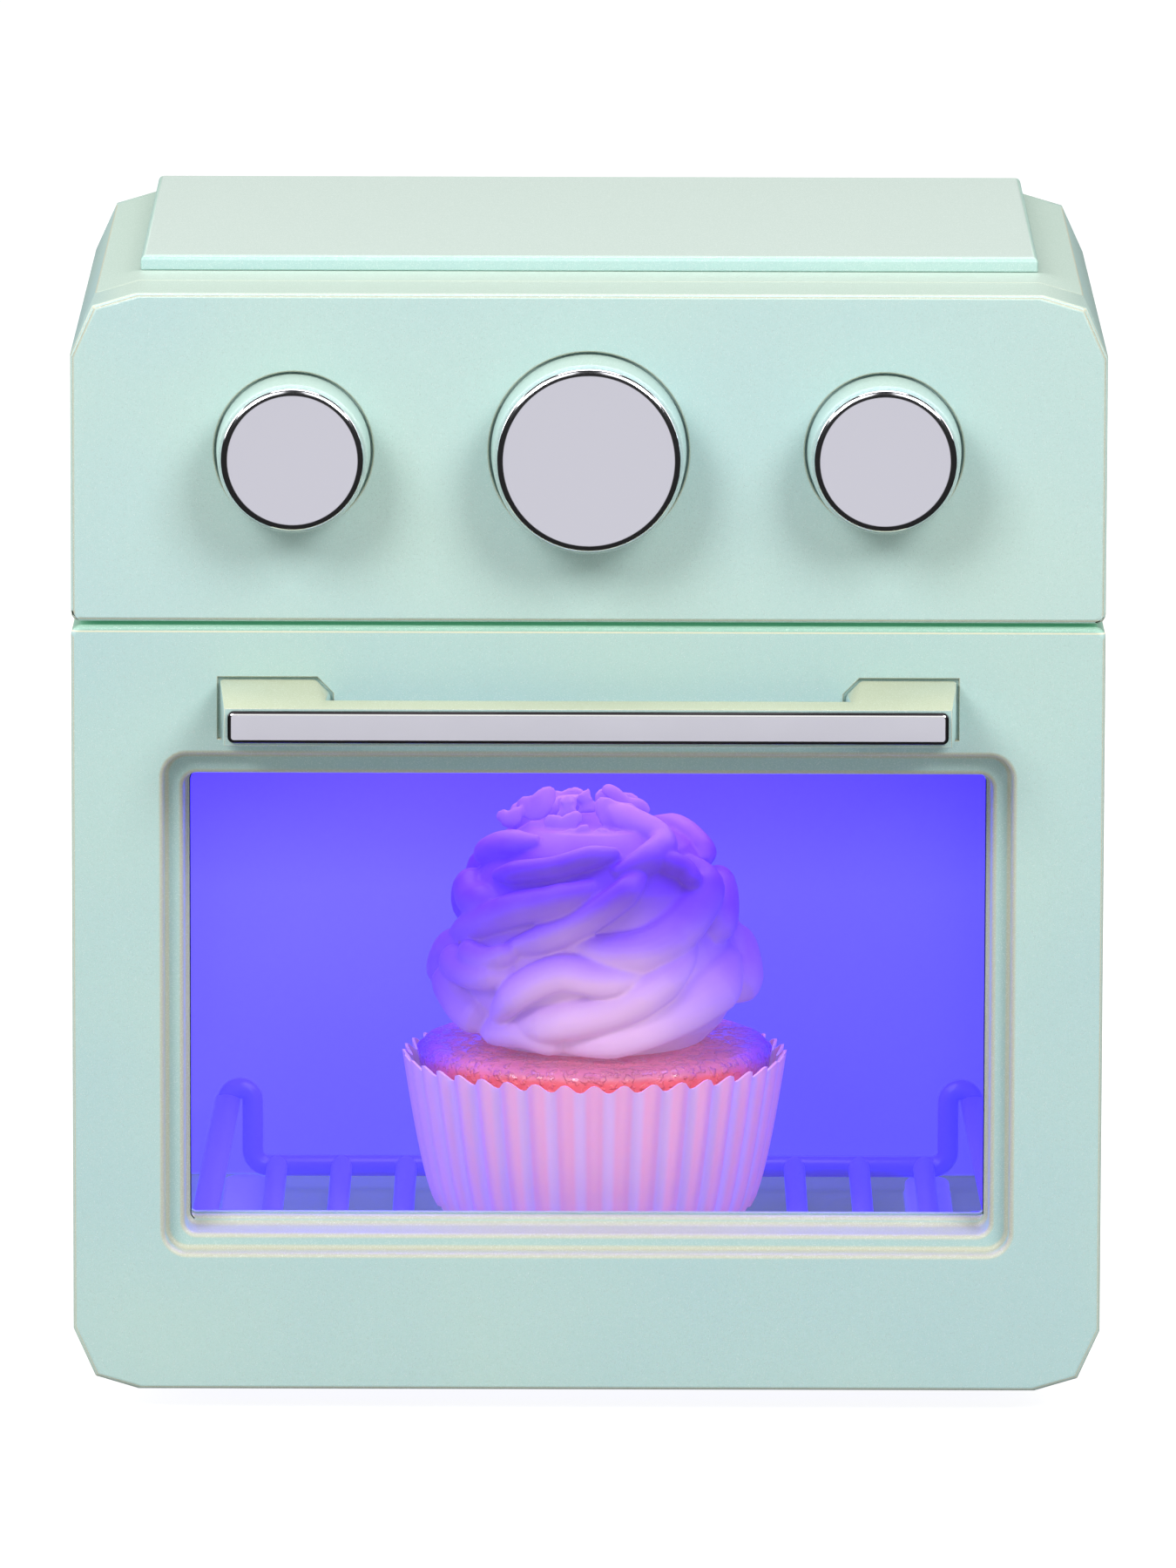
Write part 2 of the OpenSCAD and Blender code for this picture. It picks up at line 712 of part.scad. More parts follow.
module cavity_liner() {
    color([0.55, 0.48, 0.85]) placed() {
        difference() {
            union() {
                block([-liner_x, liner_x], [shell_front, liner_back], [cavity_z - liner_t, liner_top]);
                slab(shell_front, shell_front + flange_t) intersection() {
                    polygon(case_pts(wall + fit));
                    translate([-case_w, flange_z]) square([2 * case_w, flange_top - flange_z]);
                }
                intersection() {
                    for (x = [-post_x, post_x], z = liner_post_z)
                        bar_y(x, shell_front, shell_front + boss_l, z, post_r);
                    slab(shell_front, shell_back) polygon(case_pts(wall + fit));
                }
                for (x = [-light_post_x, light_post_x])
                    translate([x, lens_y, liner_top - fuse])
                        cylinder(h = light_board_z - liner_top + fuse, r = light_post_r);
            }
            block([-cavity_w / 2, cavity_w / 2], [shell_front - 1, cavity_back],
                  [cavity_z, cavity_z + cavity_h]);
            for (s = [-1, 1])
                block([s * arm_x - arm_w / 2 - slot_gap, s * arm_x + arm_w / 2 + slot_gap],
                      [shell_front - 1, shell_front + flange_t + 1], [0, hinge_z + arm_r + fit]);
            for (x = [-post_x, post_x], z = liner_post_z) {
                bar_y(x, shell_front - 1, shell_front + boss_l + 1, z, shank_r + fit);
                bar_y(x, shell_front - 1, shell_front + head_h + head_gap, z, head_r + fit);
            }
            for (x = [-light_post_x, light_post_x])
                translate([x, lens_y, liner_top]) cylinder(h = case_h, r = small_shank_r + run);
            block([-lens_w / 2, lens_w / 2], [lens_y - lens_d / 2, lens_y + lens_d / 2],
                  [cavity_z + cavity_h - 1, liner_top + 1]);
        }
        for (s = [-1, 1]) floor_rib(s * rib_x);
    }
}

// A rib of the cavity's floor that carries the rack, with round ends
module floor_rib(x) {
    translate([x, 0, cavity_z - fuse]) linear_extrude(rib_h + fuse) {
        translate([-rib_w / 2, rib_front + rib_w / 2]) square([rib_w, rib_back - rib_front - rib_w]);
        for (y = [rib_front + rib_w / 2, rib_back - rib_w / 2]) translate([0, y]) circle(r = rib_w / 2);
    }
}

function bracket_holes() = [
    for (s = [-1, 1], y = [bracket_y[0] + bracket_hole_end, bracket_y[1] - bracket_hole_end])
        [s * (arm_x + arm_w / 2 - bracket_w + bracket_hole_in), y]
];

module hinge_bracket(s) {
    color([0.6, 0.61, 0.63]) placed() difference() {
        union() {
            strip(s * arm_x - arm_w / 2, s * arm_x + arm_w / 2) {
                translate([hinge_y, hinge_z]) circle(r = arm_r);
                translate([hinge_y, hinge_z - arm_r]) square([bracket_y[1] - hinge_y, 2 * arm_r]);
            }
            slab(bracket_y[0], bracket_y[1]) intersection() {
                polygon(case_pts(wall));
                translate([s * (arm_x + (arm_w - bracket_w) / 2) - bracket_w / 2, 0])
                    square([bracket_w, wall + bracket_t]);
            }
        }
        translate([-case_w, hinge_y, hinge_z]) rotate([0, 90, 0])
            cylinder(h = 2 * case_w, r = pin_r + run);
        for (p = bracket_holes())
            translate([p[0], p[1], 0]) cylinder(h = 2 * (wall + bracket_t), r = shank_r + run);
    }
}

// Magnets in the door's upper corners, and steel plates behind the flange that they catch
door_post_r = post_r - fuse;
door_side_x = case_w / 2 - skin - door_post_r - bay_gap;
door_fix_drop = 7;
door_post_low = 3;
magnet_r = 2.5;
magnet_t = 2.2;
magnet_gap = 1.2;
magnet_at = [[-door_side_x, door_h - door_fix_drop], [door_side_x, door_h - door_fix_drop]];
catch_t = 0.8;
catch_h = 6;

module catch_plates() {
    color([0.72, 0.73, 0.75]) placed() for (p = magnet_at)
        block(span(p[0], 2 * magnet_r), [shell_front + flange_t, shell_front + flange_t + catch_t],
              span(p[1], catch_h));
}

module light_lens() {
    color([0.75, 0.7, 1.0]) placed() {
        block([-lens_w / 2 + fit, lens_w / 2 - fit],
              [lens_y - lens_d / 2 + fit, lens_y + lens_d / 2 - fit], [cavity_z + cavity_h, liner_top + fuse]);
        block([-lens_w / 2 - lens_rim, lens_w / 2 + lens_rim],
              [lens_y - lens_d / 2 - lens_rim, lens_y + lens_d / 2 + lens_rim],
              [liner_top, liner_top + lens_rim_t]);
    }
}

module light_board() {
    color([0.1, 0.35, 0.2]) placed() difference() {
        block([-light_board_w / 2, light_board_w / 2], [lens_y - lens_d / 2, lens_y + lens_d / 2],
              [light_board_z, light_board_z + board_t]);
        for (x = [-light_post_x, light_post_x])
            translate([x, lens_y, light_board_z - 1]) cylinder(h = board_t + 2, r = small_shank_r + fit);
    }
}

module light_emitters() {
    color([0.9, 0.88, 1.0]) placed() for (x = [-lens_w / 4, lens_w / 4])
        translate([x, lens_y, light_board_z]) rotate([180, 0, 0]) rotate_extrude() {
            square([1.7, 0.5]);
            square([1.45, 1.1]);
            intersection() {
                translate([0, 0.35]) circle(r = 1.6);
                square([1.45, 3]);
            }
        }
}

module main_board() {
    color([0.1, 0.35, 0.2]) placed() difference() {
        block([-board_w / 2, board_w / 2], [board_y, board_y + board_t], [board_z, board_z + board_h]);
        for (x = [-board_post_x, board_post_x], z = board_post_z)
            bar_y(x, board_y - 1, board_y + board_t + 1, z, small_shank_r + fit);
    }
}

// A rotary switch on the main board, with the hole that takes a knob's spindle
module rotary_switch(x, w) {
    color([0.2, 0.2, 0.22]) placed() difference() {
        block([x - w / 2, x + w / 2], [switch_y, board_y], [knob_z - w / 2, knob_z + w / 2]);
        bar_y(x, switch_y - 1, spindle_end + head_gap, knob_z, spindle_r + run);
    }
}

// Middle of cell i, and 1 where its spring is at the left end, -1 where it is at the right end
function cell_z(i) = box_z + box_t + (i - 0.5) * cell_pitch;
function spring_side(i) = i == 2 ? -1 : 1;
box_mid = box_x + box_l / 2;

module battery_box() {
    color([0.25, 0.26, 0.28]) placed() difference() {
        union() {
            block([box_x, box_x + box_l], [box_front, shell_back], [box_z, box_z + box_h]);
            block([box_x + box_l - fuse, box_x + box_l + latch_w], [shell_back - latch_l, shell_back],
                  [latch_at[1] - latch_h / 2, latch_at[1] + latch_h / 2]);
        }
        block([box_x + box_t, box_x + box_l - box_t], [box_front + box_t, shell_back + 1],
              [box_z + box_t, box_z + box_h - box_t]);
        bar_y(latch_at[0], shell_back - latch_l + 1, shell_back + 1, latch_at[1], shank_r + run);
    }
}

module battery(i) {
    s = spring_side(i);
    end = box_mid + s * (box_in_l / 2 - plate_t);
    color([0.15, 0.35, 0.6]) placed() translate([end, cell_y, cell_z(i)]) rotate([0, -s * 90, 0]) {
        cylinder(h = tip_l + fuse, r = 1.9);
        translate([0, 0, tip_l]) cylinder(h = cell_l, r = cell_r);
    }
}

module battery_contacts() {
    color([0.8, 0.8, 0.78]) placed() for (i = [1 : 3], s = [-1, 1])
        let (x = box_mid + s * (box_in_l / 2 - plate_t / 2))
        block(span(x, plate_t), span(cell_y, contact_w), span(cell_z(i), contact_w));
}

// A conical coil between a contact plate and the flat end of a cell
module battery_springs() {
    wire = 0.35;
    turns = 3;
    steps = 10;
    free = spring_l - 2 * wire - fit;
    color([0.8, 0.8, 0.78]) placed() for (i = [1 : 3])
        let (s = spring_side(i), x0 = box_mid - s * (box_in_l / 2 - plate_t))
        tube([for (k = [0 : turns * steps])
                let (f = k / (turns * steps), r = 3.8 - 1.3 * f)
                [x0 + s * (wire + fit / 2 + free * f), cell_y + r * cos(360 * k / steps),
                 cell_z(i) + r * sin(360 * k / steps)]],
             wire, 5, [1, 0, 0]);
}

module battery_cover() {
    color([0.71, 0.86, 0.79]) placed() difference() {
        block([hatch_x[0] + cover_gap, hatch_x[1] - cover_gap], [shell_back, case_d],
              [hatch_z[0] + cover_gap, hatch_z[1] - cover_gap]);
        bar_y(latch_at[0], shell_back - 1, case_d + 1, latch_at[1], shank_r + fit);
        bar_y(latch_at[0], case_d - head_h - fit, case_d + 1, latch_at[1], head_r + fit);
        for (i = [0 : 4])
            block([hatch_x[0] + 4 + 2 * i, hatch_x[0] + 5 + 2 * i], [case_d - 0.6, case_d + 1],
                  [latch_at[1] - 8, latch_at[1] + 8]);
    }
}

module speaker() {
    color([0.2, 0.2, 0.22]) placed() translate([horn_x, shell_back, speaker_z]) rotate([90, 0, 0])
        rotate_extrude() difference() {
            polygon([[0, 0.8], [speaker_r - 1.5, 0.2], [speaker_r - 1.5, 0], [speaker_r, 0],
                     [speaker_r, speaker_t / 2], [speaker_r * 0.6, speaker_t],
                     [speaker_r * 0.6, speaker_t + 2], [0, speaker_t + 2]]);
            polygon([[-1, 0.2], [speaker_r - 2, 0.2], [1.5, 1.2], [-1, 1.2]]);
        }
}

module case_screws() {
    color([0.7, 0.7, 0.72]) placed() {
        for (p = cover_screws()) screw_front(p[0], case_d - head_h - fit, p[1], cover_screw_l);
        screw_front(latch_at[0], case_d - head_h - fit, latch_at[1], latch_screw_l);
    }
}

module panel_screws() {
    color([0.7, 0.7, 0.72]) placed() for (x = [-panel_screw_x, panel_screw_x])
        translate([x, panel_screw_y, case_h]) rotate([180, 0, 0]) screw(wall + tab_t);
}

module liner_screws() {
    color([0.7, 0.7, 0.72]) placed() for (x = [-post_x, post_x], z = liner_post_z)
        screw_back(x, shell_front + head_h + head_gap, z, liner_screw_l);
}

module bracket_screws() {
    color([0.7, 0.7, 0.72]) placed() for (p = bracket_holes())
        translate([p[0], p[1], head_h + fit]) screw(wall + bracket_t - head_h - fit);
}

module board_screws() {
    color([0.7, 0.7, 0.72]) placed() {
        for (x = [-board_post_x, board_post_x], z = board_post_z)
            screw_front(x, board_y + board_t, z, board_t + board_screw_l, small_shank_r);
        for (x = [-light_post_x, light_post_x])
            translate([x, lens_y, light_board_z + board_t]) rotate([180, 0, 0])
                screw(board_t + light_screw_l, small_shank_r);
    }
}

// Where the leads leave the boards and the box
lead_in = 7;
lead_rise = 4;

// Two insulated wires side by side, easing from one point to another along Y, with straight ends
module lead(from, to) {
    steps = 12;
    for (side = [-1, 1])
        tube([for (k = [0 : steps])
                let (f = max(0, min(1, (k - 1) / (steps - 2))), e = (1 - cos(180 * f)) / 2,
                     x = from[0] + (to[0] - from[0]) * e)
                [x + side * lead_r * 1.15, from[1] + (to[1] - from[1]) * k / steps,
                 from[2] + (to[2] - from[2]) * e]],
             lead_r, 6, [0, 0, 1]);
}

module battery_lead() {
    x = box_x + lead_in;
    color([0.75, 0.15, 0.15]) placed()
        lead([x, board_y + board_t, board_z + lead_rise], [x, box_front, box_z + lead_in]);
}

module light_lead() {
    color([0.85, 0.85, 0.85]) placed()
        lead([lead_in, board_y + board_t, board_z + lead_rise],
             [lead_in, lens_y - lens_d / 2, light_board_z + board_t / 2]);
}

module speaker_lead() {
    color([0.2, 0.2, 0.2]) placed()
        lead([horn_x, board_y + board_t, knob_z], [horn_x, shell_back - speaker_t - 2, speaker_z]);
}

module door_outer() {
    color([0.71, 0.86, 0.79]) placed() difference() {
        union() {
            difference() {
                intersection() {
                    soft_front(0, door_t) polygon(door_pts($inset));
                    strip(-case_w, case_w) heel_profile();
                }
                slab(skin, door_t + 1) polygon(door_pocket());
                block([-step_w / 2, step_w / 2], [skin, door_t - skin], [hinge_z - 1, pocket_z + 1]);
            }
            slab(fuse, pane_back)
                round_rect(step_w + 2 * tube_wall, step_z - tube_wall, step_top + tube_wall,
                           step_r + tube_wall);
            for (p = door_posts()) bar_y(p[0], skin - fuse, pane_back - door_boss_l, p[1], door_post_r);
        }
        slab(-1, step_d) round_rect(step_w, step_z, step_top, step_r);
        slab(step_d - sliver, lip_y) round_rect(sill_w, sill_z, sill_top, sill_r);
        slab(lip_y - 1, pane_y + 1) round_rect(glass_w, glass_z, glass_top, lip_r);
        slab(pane_y, pane_back + 1)
            round_rect(sill_w + 2 * pane_rest, sill_z - pane_rest, sill_top + pane_rest, sill_r);
        for (s = [-1, 1]) {
            block([s * arm_x - arm_w / 2 - slot_gap, s * arm_x + arm_w / 2 + slot_gap],
                  [hinge_y - arm_r - slot_gap, door_t + 1], [-1, hinge_z + arm_r + slot_gap]);
            slab(-1, seat_d) polygon(leg_pts(s, seat_gap));
            bar_y(s * screw_x, -1, skin + 1, screw_z, shank_r + fit);
            pin(s, pin_l + 2 * fit, pin_r + sliver);
        }
        for (p = door_posts()) bar_y(p[0], skin + 1, pane_back, p[1], small_shank_r + run);
    }
}

// Side view of the door: full thickness above the hinge axis, a thin skin and a round heel below it
module heel_profile() {
    translate([-1, hinge_z]) square([door_t + 1, door_h - hinge_z + 1]);
    translate([hinge_y, hinge_z]) circle(r = heel_r);
    translate([-1, -1]) square([heel_skin + 1, hinge_z + 1 + fuse]);
}

// The pocket that the inner door panel closes
function door_pocket(gap = 0) =
    let (x = case_w / 2 - skin - gap)
    [[-x, pocket_z + gap], [x, pocket_z + gap], [x, door_h - skin - gap], [-x, door_h - skin - gap]];
door_boss_l = 1.1;
door_screw_l = 5.5;
function door_posts() = [
    for (s = [-1, 1], p = [[door_side_x, pocket_z + door_post_low],
                           [door_side_x - magnet_r - magnet_gap - door_post_r, door_h - door_fix_drop]])
        [s * p[0], p[1]]
];

module door_inner() {
    color([0.72, 0.86, 0.8]) placed() difference() {
        union() {
            slab(pane_back, door_t) polygon(door_pocket(fit));
            for (p = door_posts()) bar_y(p[0], pane_back - door_boss_l, pane_back + fuse, p[1], door_post_r);
        }
        slab(pane_back - 1, door_t + 1) round_rect(glass_w, glass_z, glass_top, lip_r);
        for (p = door_posts()) {
            bar_y(p[0], 0, door_t + 1, p[1], small_shank_r + fit);
            bar_y(p[0], door_t - head_h - fit, door_t + 1, p[1], head_r + fit);
        }
    }
}

module window_pane() {
    color([0.85, 0.9, 1.0, 0.35]) placed() slab(pane_y, pane_back)
        round_rect(sill_w + 2 * pane_rest - 2 * fit, sill_z - pane_rest + fit, sill_top + pane_rest - fit,
                   sill_r - fit);
}

// Outline of a leg at the door, with a gap round it for its seat
function leg_pts(s, gap) =
    let (outer = s * (handle_x + gap), inner = s * (handle_x - leg_w - gap),
         top = leg_z + leg_h + gap, cut = leg_cut + gap / 2)
    [[outer, leg_z - gap], [outer, top], [inner + s * cut, top], [inner, top - cut], [inner, leg_z - gap]];

module door_handle() {
    x_out = handle_x - leg_taper;
    color([0.71, 0.86, 0.79]) placed() difference() {
        union() {
            for (s = [-1, 1]) hull() {
                slab(0, seat_d) polygon(leg_pts(s, 0));
                block([s * screw_x - leg_w / 2 + leg_taper, s * screw_x + leg_w / 2 - leg_taper],
                      [-bar_out, -bar_out + 1], [bar_z, bar_z + bar_h]);
            }
            block([-x_out, x_out], [-bar_out, -bar_out + bar_t], [bar_z, bar_z + bar_h]);
        }
        for (s = [-1, 1]) bar_y(s * screw_x, seat_d - handle_hole_l, seat_d + 1, screw_z, shank_r + run);
    }
}

module handle_strip() {
    x = handle_x - leg_taper - strip_margin;
    color([0.86, 0.86, 0.9]) placed()
        block([-x, x], [-strip_out, -bar_out], [bar_z + strip_margin, bar_z + bar_h - strip_margin]);
}

module handle_screws() {
    color([0.7, 0.7, 0.72]) placed() for (s = [-1, 1])
        screw_front(s * screw_x, skin, screw_z, handle_screw_l);
}

module door_screws() {
    color([0.7, 0.7, 0.72]) placed() for (p = door_posts())
        screw_front(p[0], door_t - head_h - fit, p[1], door_screw_l, small_shank_r);
}

module hinge_pins() {
    color([0.75, 0.76, 0.78]) placed() for (s = [-1, 1]) pin(s, pin_l, pin_r);
}

module door_magnets() {
    color([0.35, 0.35, 0.37]) placed() for (p = magnet_at)
        bar_y(p[0], pane_back - magnet_t, pane_back, p[1], magnet_r);
}

// Radius of a knob's front, and of its cap
function knob_front_r(r) = r - knob_taper;
function knob_cap_r(r) = r - knob_taper - cap_margin;
knob_face = knob_out - cap_t;
socket_r = 2.2;
socket_d = 1.5;
knob_edge = 0.2;
knob_disc = 1.6;

// A knob: a hollow round grip on a grooved shaft that ends in a thin spindle
module knob(x, r) {
    color([0.71, 0.86, 0.79]) placed() difference() {
        union() {
            translate([x, 0, knob_z]) rotate([90, 0, 0]) rotate_extrude()
                polygon([[0, knob_face], [knob_front_r(r) - knob_edge, knob_face],
                         [knob_front_r(r), knob_face - knob_edge], [r, knob_gap + knob_edge],
                         [r - knob_edge, knob_gap], [r - knob_wall, knob_gap],
                         [knob_front_r(r) - knob_wall, knob_face - knob_disc], [0, knob_face - knob_disc]]);
            bar_y(x, -knob_face + 1, shaft_end, knob_z, shaft_r);
            bar_y(x, shaft_end - 1, spindle_end, knob_z, spindle_r);
        }
        bar_y(x, -knob_out, -knob_face + socket_d, knob_z, socket_r);
        difference() {
            bar_y(x, groove_y, clip_y + clip_t + run, knob_z, shaft_r + 1);
            bar_y(x, groove_y - 1, shaft_end, knob_z, shaft_r - groove_d);
        }
    }
}

module knob_cap(x, r) {
    c = knob_cap_r(r);
    color([0.84, 0.84, 0.9]) placed() translate([x, 0, knob_z]) rotate([90, 0, 0]) rotate_extrude() {
        polygon(concat([[0, knob_face], [c, knob_face]],
                       [for (a = [0 : 15 : 90])
                            [c - cap_r * (1 - cos(a)), knob_out - cap_r * (1 - sin(a))]],
                       [[0, knob_out]]));
        translate([0, knob_face - socket_d]) square([socket_r - run, socket_d + fuse]);
    }
}

module knob_washer(x) {
    color([0.75, 0.6, 0.3]) placed() difference() {
        bar_y(x, washer_y, washer_y + washer_t, knob_z, shaft_r + bushing_t);
        bar_y(x, washer_y - 1, washer_y + washer_t + 1, knob_z, shaft_r + fit);
    }
}

module knob_clip(x) {
    color([0.4, 0.4, 0.42]) placed() difference() {
        bar_y(x, clip_y, clip_y + clip_t, knob_z, shaft_r + bushing_t - 0.6);
        bar_y(x, clip_y - 1, clip_y + clip_t + 1, knob_z, shaft_r - groove_d + run);
        block([x - shaft_r + groove_d, x + shaft_r - groove_d], [clip_y - 1, clip_y + clip_t + 1],
              [knob_z - 2 * shaft_r, knob_z]);
    }
}

// One bent end wire of the rack: rail loop, upright, cross rod, upright, rail loop
module end_wire(y) {
    right = concat(
        [for (a = [0 : 22.5 : 180])
            [upright_x + loop_r + loop_r * cos(a), rail_z + loop_r * sin(a)]],
        [for (a = [0 : -22.5 : -90])
            [upright_x - bend_r + bend_r * cos(a), rod_z + bend_r + bend_r * sin(a)]]);
    path = concat(right, [for (p = reversed(right)) [-p[0], p[1]]]);
    tube([for (p = path) [rack_x + p[0], y, p[1]]], rod_r, 10, [0, 1, 0]);
}

module rack() {
    color([0.62, 0.6, 0.68]) placed() {
        for (y = [rack_front, rack_back]) end_wire(y);
        for (i = [0 : rod_count - 1])
            rod_y(rack_x + (i - (rod_count - 1) / 2) * rod_pitch, rod_z);
        for (s = [-1, 1]) rod_y(rack_x + s * (upright_x + 2 * loop_r), rail_z);
    }
}

// A long rod of the rack, or a side rail
module rod_y(x, z) {
    translate([x, rack_front, z]) rotate([-90, 0, 0])
        cylinder(h = rack_back - rack_front, r = rod_r, $fn = 12);
}

// The pleated outline of the paper at its base
function pleated(r, depth) = [
    for (k = [0 : 2 * pleats - 1]) (r - (k % 2) * depth) * [cos(180 * k / pleats), sin(180 * k / pleats)]
];

module cupcake_paper() {
    spread = cup_rim_r / cup_base_r;
    color([0.93, 0.72, 0.9]) placed() translate([cup_x, cup_y, cup_z]) difference() {
        linear_extrude(cup_h, scale = spread) polygon(pleated(cup_base_r, pleat_d));
        translate([0, 0, paper_t])
            linear_extrude(cup_h, scale = spread) polygon(pleated(cup_base_r - paper_t, pleat_d));
    }
}

// Radius of the cake at height h above the paper's base, inside the pleats
function cake_r(h) =
    (cup_base_r - pleat_d - paper_t) * (1 + (cup_rim_r / cup_base_r - 1) * (h - paper_t) / cup_h) - cup_gap;

module cupcake_cake() {
    top = cup_h + cake_rise;
    low_r = cake_r(paper_t);
    high_r = cake_r(cup_h);
    color([0.85, 0.55, 0.5]) placed() translate([cup_x, cup_y, cup_z]) rotate_extrude()
        polygon([[0, paper_t], [low_r, paper_t], [high_r, cup_h], [high_r - 0.4, cup_h + cake_rise * 0.5],
                 [high_r - 1.4, cup_h + cake_rise * 0.85], [high_r - 3, top], [0, top]]);
}

// One tier of frosting, with lobes that lean as they rise
module frosting_tier(z0, z1, r0, r1) {
    steps = 4 * lobes;
    translate([0, 0, z0]) linear_extrude(z1 - z0, scale = r1 / r0, twist = -22, slices = 3)
        polygon([for (k = [0 : steps - 1])
            let (r = r0 - lobe_d * (1 - abs(cos(180 * lobes * k / steps))))
            r * [cos(360 * k / steps), sin(360 * k / steps)]]);
}

// Each tier: its start and end as shares of the height, and its radii as shares of the lowest one
frosting_tiers = [
    [0, 0.16, 0.92, 1], [0.16, 0.36, 1, 0.93], [0.33, 0.44, 0.86, 0.92], [0.44, 0.6, 0.92, 0.83],
    [0.57, 0.68, 0.77, 0.82], [0.68, 0.82, 0.82, 0.52], [0.8, 0.9, 0.42, 0.4], [0.9, 1, 0.4, 0.16]
];

module cupcake_frosting() {
    color([0.86, 0.8, 0.98]) placed() translate([cup_x, cup_y, cake_top])
        for (t = frosting_tiers)
            frosting_tier(t[0] * frosting_h, t[1] * frosting_h, t[2] * frosting_r, t[3] * frosting_r);
}

body_shell();
control_panel();
top_plate();
back_cover();
feet();
cavity_liner();
hinge_bracket(-1);  // hinge_bracket_left
hinge_bracket(1);  // hinge_bracket_right
catch_plates();
light_lens();
light_board();
light_emitters();
main_board();
rotary_switch(-knob_x, side_switch_w);  // switch_left
rotary_switch(0, main_switch_w);  // switch_middle
rotary_switch(knob_x, side_switch_w);  // switch_right
battery_box();
battery(1);  // battery_1
battery(2);  // battery_2
battery(3);  // battery_3
battery_contacts();
battery_springs();
battery_cover();
speaker();
case_screws();
panel_screws();
liner_screws();
bracket_screws();
board_screws();
battery_lead();
light_lead();
speaker_lead();
door_outer();
door_inner();
window_pane();
door_handle();
handle_strip();
handle_screws();
door_screws();
hinge_pins();
door_magnets();
knob(-knob_x, side_knob_r);  // knob_left
knob_cap(-knob_x, side_knob_r);  // knob_left_cap
knob_washer(-knob_x);  // knob_left_washer
knob_clip(-knob_x);  // knob_left_clip
knob(0, main_knob_r);  // knob_middle
knob_cap(0, main_knob_r);  // knob_middle_cap
knob_washer(0);  // knob_middle_washer
knob_clip(0);  // knob_middle_clip
knob(knob_x, side_knob_r);  // knob_right
knob_cap(knob_x, side_knob_r);  // knob_right_cap
knob_washer(knob_x);  // knob_right_washer
knob_clip(knob_x);  // knob_right_clip
rack();
cupcake_paper();
cupcake_cake();
cupcake_frosting();
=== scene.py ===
"""Looks for the toy oven: its finishes, rounded shells, knobs, rack and cupcake, and a small studio.

Laid out as an add-on: sizes and colours are properties, and each group of pieces has an operator.
Lengths are in metres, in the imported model's frame: X to the right, Y to the back, Z up.
"""
import math

import bmesh
import bpy
from mathutils import Matrix, Vector


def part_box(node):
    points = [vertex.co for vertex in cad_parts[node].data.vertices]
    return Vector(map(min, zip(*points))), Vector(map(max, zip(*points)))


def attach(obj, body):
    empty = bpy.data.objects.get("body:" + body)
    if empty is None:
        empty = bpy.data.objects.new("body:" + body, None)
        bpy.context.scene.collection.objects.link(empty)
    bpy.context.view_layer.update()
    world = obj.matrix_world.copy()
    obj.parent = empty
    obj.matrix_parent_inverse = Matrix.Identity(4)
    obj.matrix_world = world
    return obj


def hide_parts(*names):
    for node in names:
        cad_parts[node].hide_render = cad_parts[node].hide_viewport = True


bl_info = {
    "name": "Toy Oven Finishes",
    "version": (1, 0, 0),
    "blender": (4, 5, 0),
    "location": "3D View > Sidebar > Toy Oven",
    "description": "Finishes, rounded shells and small pieces for a toy oven",
    "category": "Object",
}

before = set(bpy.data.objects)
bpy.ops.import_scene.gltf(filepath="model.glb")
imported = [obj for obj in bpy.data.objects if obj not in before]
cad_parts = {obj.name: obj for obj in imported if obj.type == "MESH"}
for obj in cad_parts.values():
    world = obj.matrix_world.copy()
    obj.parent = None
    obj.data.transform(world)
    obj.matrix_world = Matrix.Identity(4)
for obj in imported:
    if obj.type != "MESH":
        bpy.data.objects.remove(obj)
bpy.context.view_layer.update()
MM = 0.001

CASE = "case"
DOOR = "door"
TRAY = "rack_and_cupcake"

# The photograph's view: its height and focal length in pixels, and the camera's place
PHOTO_H = 1800
FOCAL_PX = 16447
SENSOR = 36
CAMERA_PITCH = math.radians(10)
CAMERA_ROLL = math.radians(0.15)
CAMERA_AHEAD = 1529.6 * MM
CAMERA_UP = 336.95 * MM

# Where the front face, the case's lower edge and the cavity's floor lie
FRONT_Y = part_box("door_outer")[0].y
BASE_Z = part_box("door_outer")[0].z
FLOOR_Z = BASE_Z + 9.6 * MM

# Points closer than this are one point, and faces that turn by less than this are one face
JOIN = 0.002 * MM
FLAT = math.radians(0.4)

# A shell's edges are rounded where its faces turn by more than this
CORNER = math.radians(25)

UP = (0.0, 0.0, 1.0)
DOWN = (0.0, 0.0, -1.0)
AHEAD = (0.0, -1.0, 0.0)

BLACK = (0.0, 0.0, 0.0, 1.0)
WHITE = (1.0, 1.0, 1.0, 1.0)
GLITTER = (0.92, 0.96, 0.93, 1.0)
# Green light painted into the door's gap as emission
PAINTED_GAP_LIGHT = (0.02, 0.08, 0.045, 1.0)
FLANGE = (0.5, 0.52, 0.62, 1.0)
# Faint painted glow on the cavity's flange
FLANGE_GLOW = (0.02, 0.02, 0.05, 1.0)
# Painted dark reflection on the bright caps' rims
PAINTED_DARK_REFLECTION = (0.04, 0.033, 0.038, 1.0)

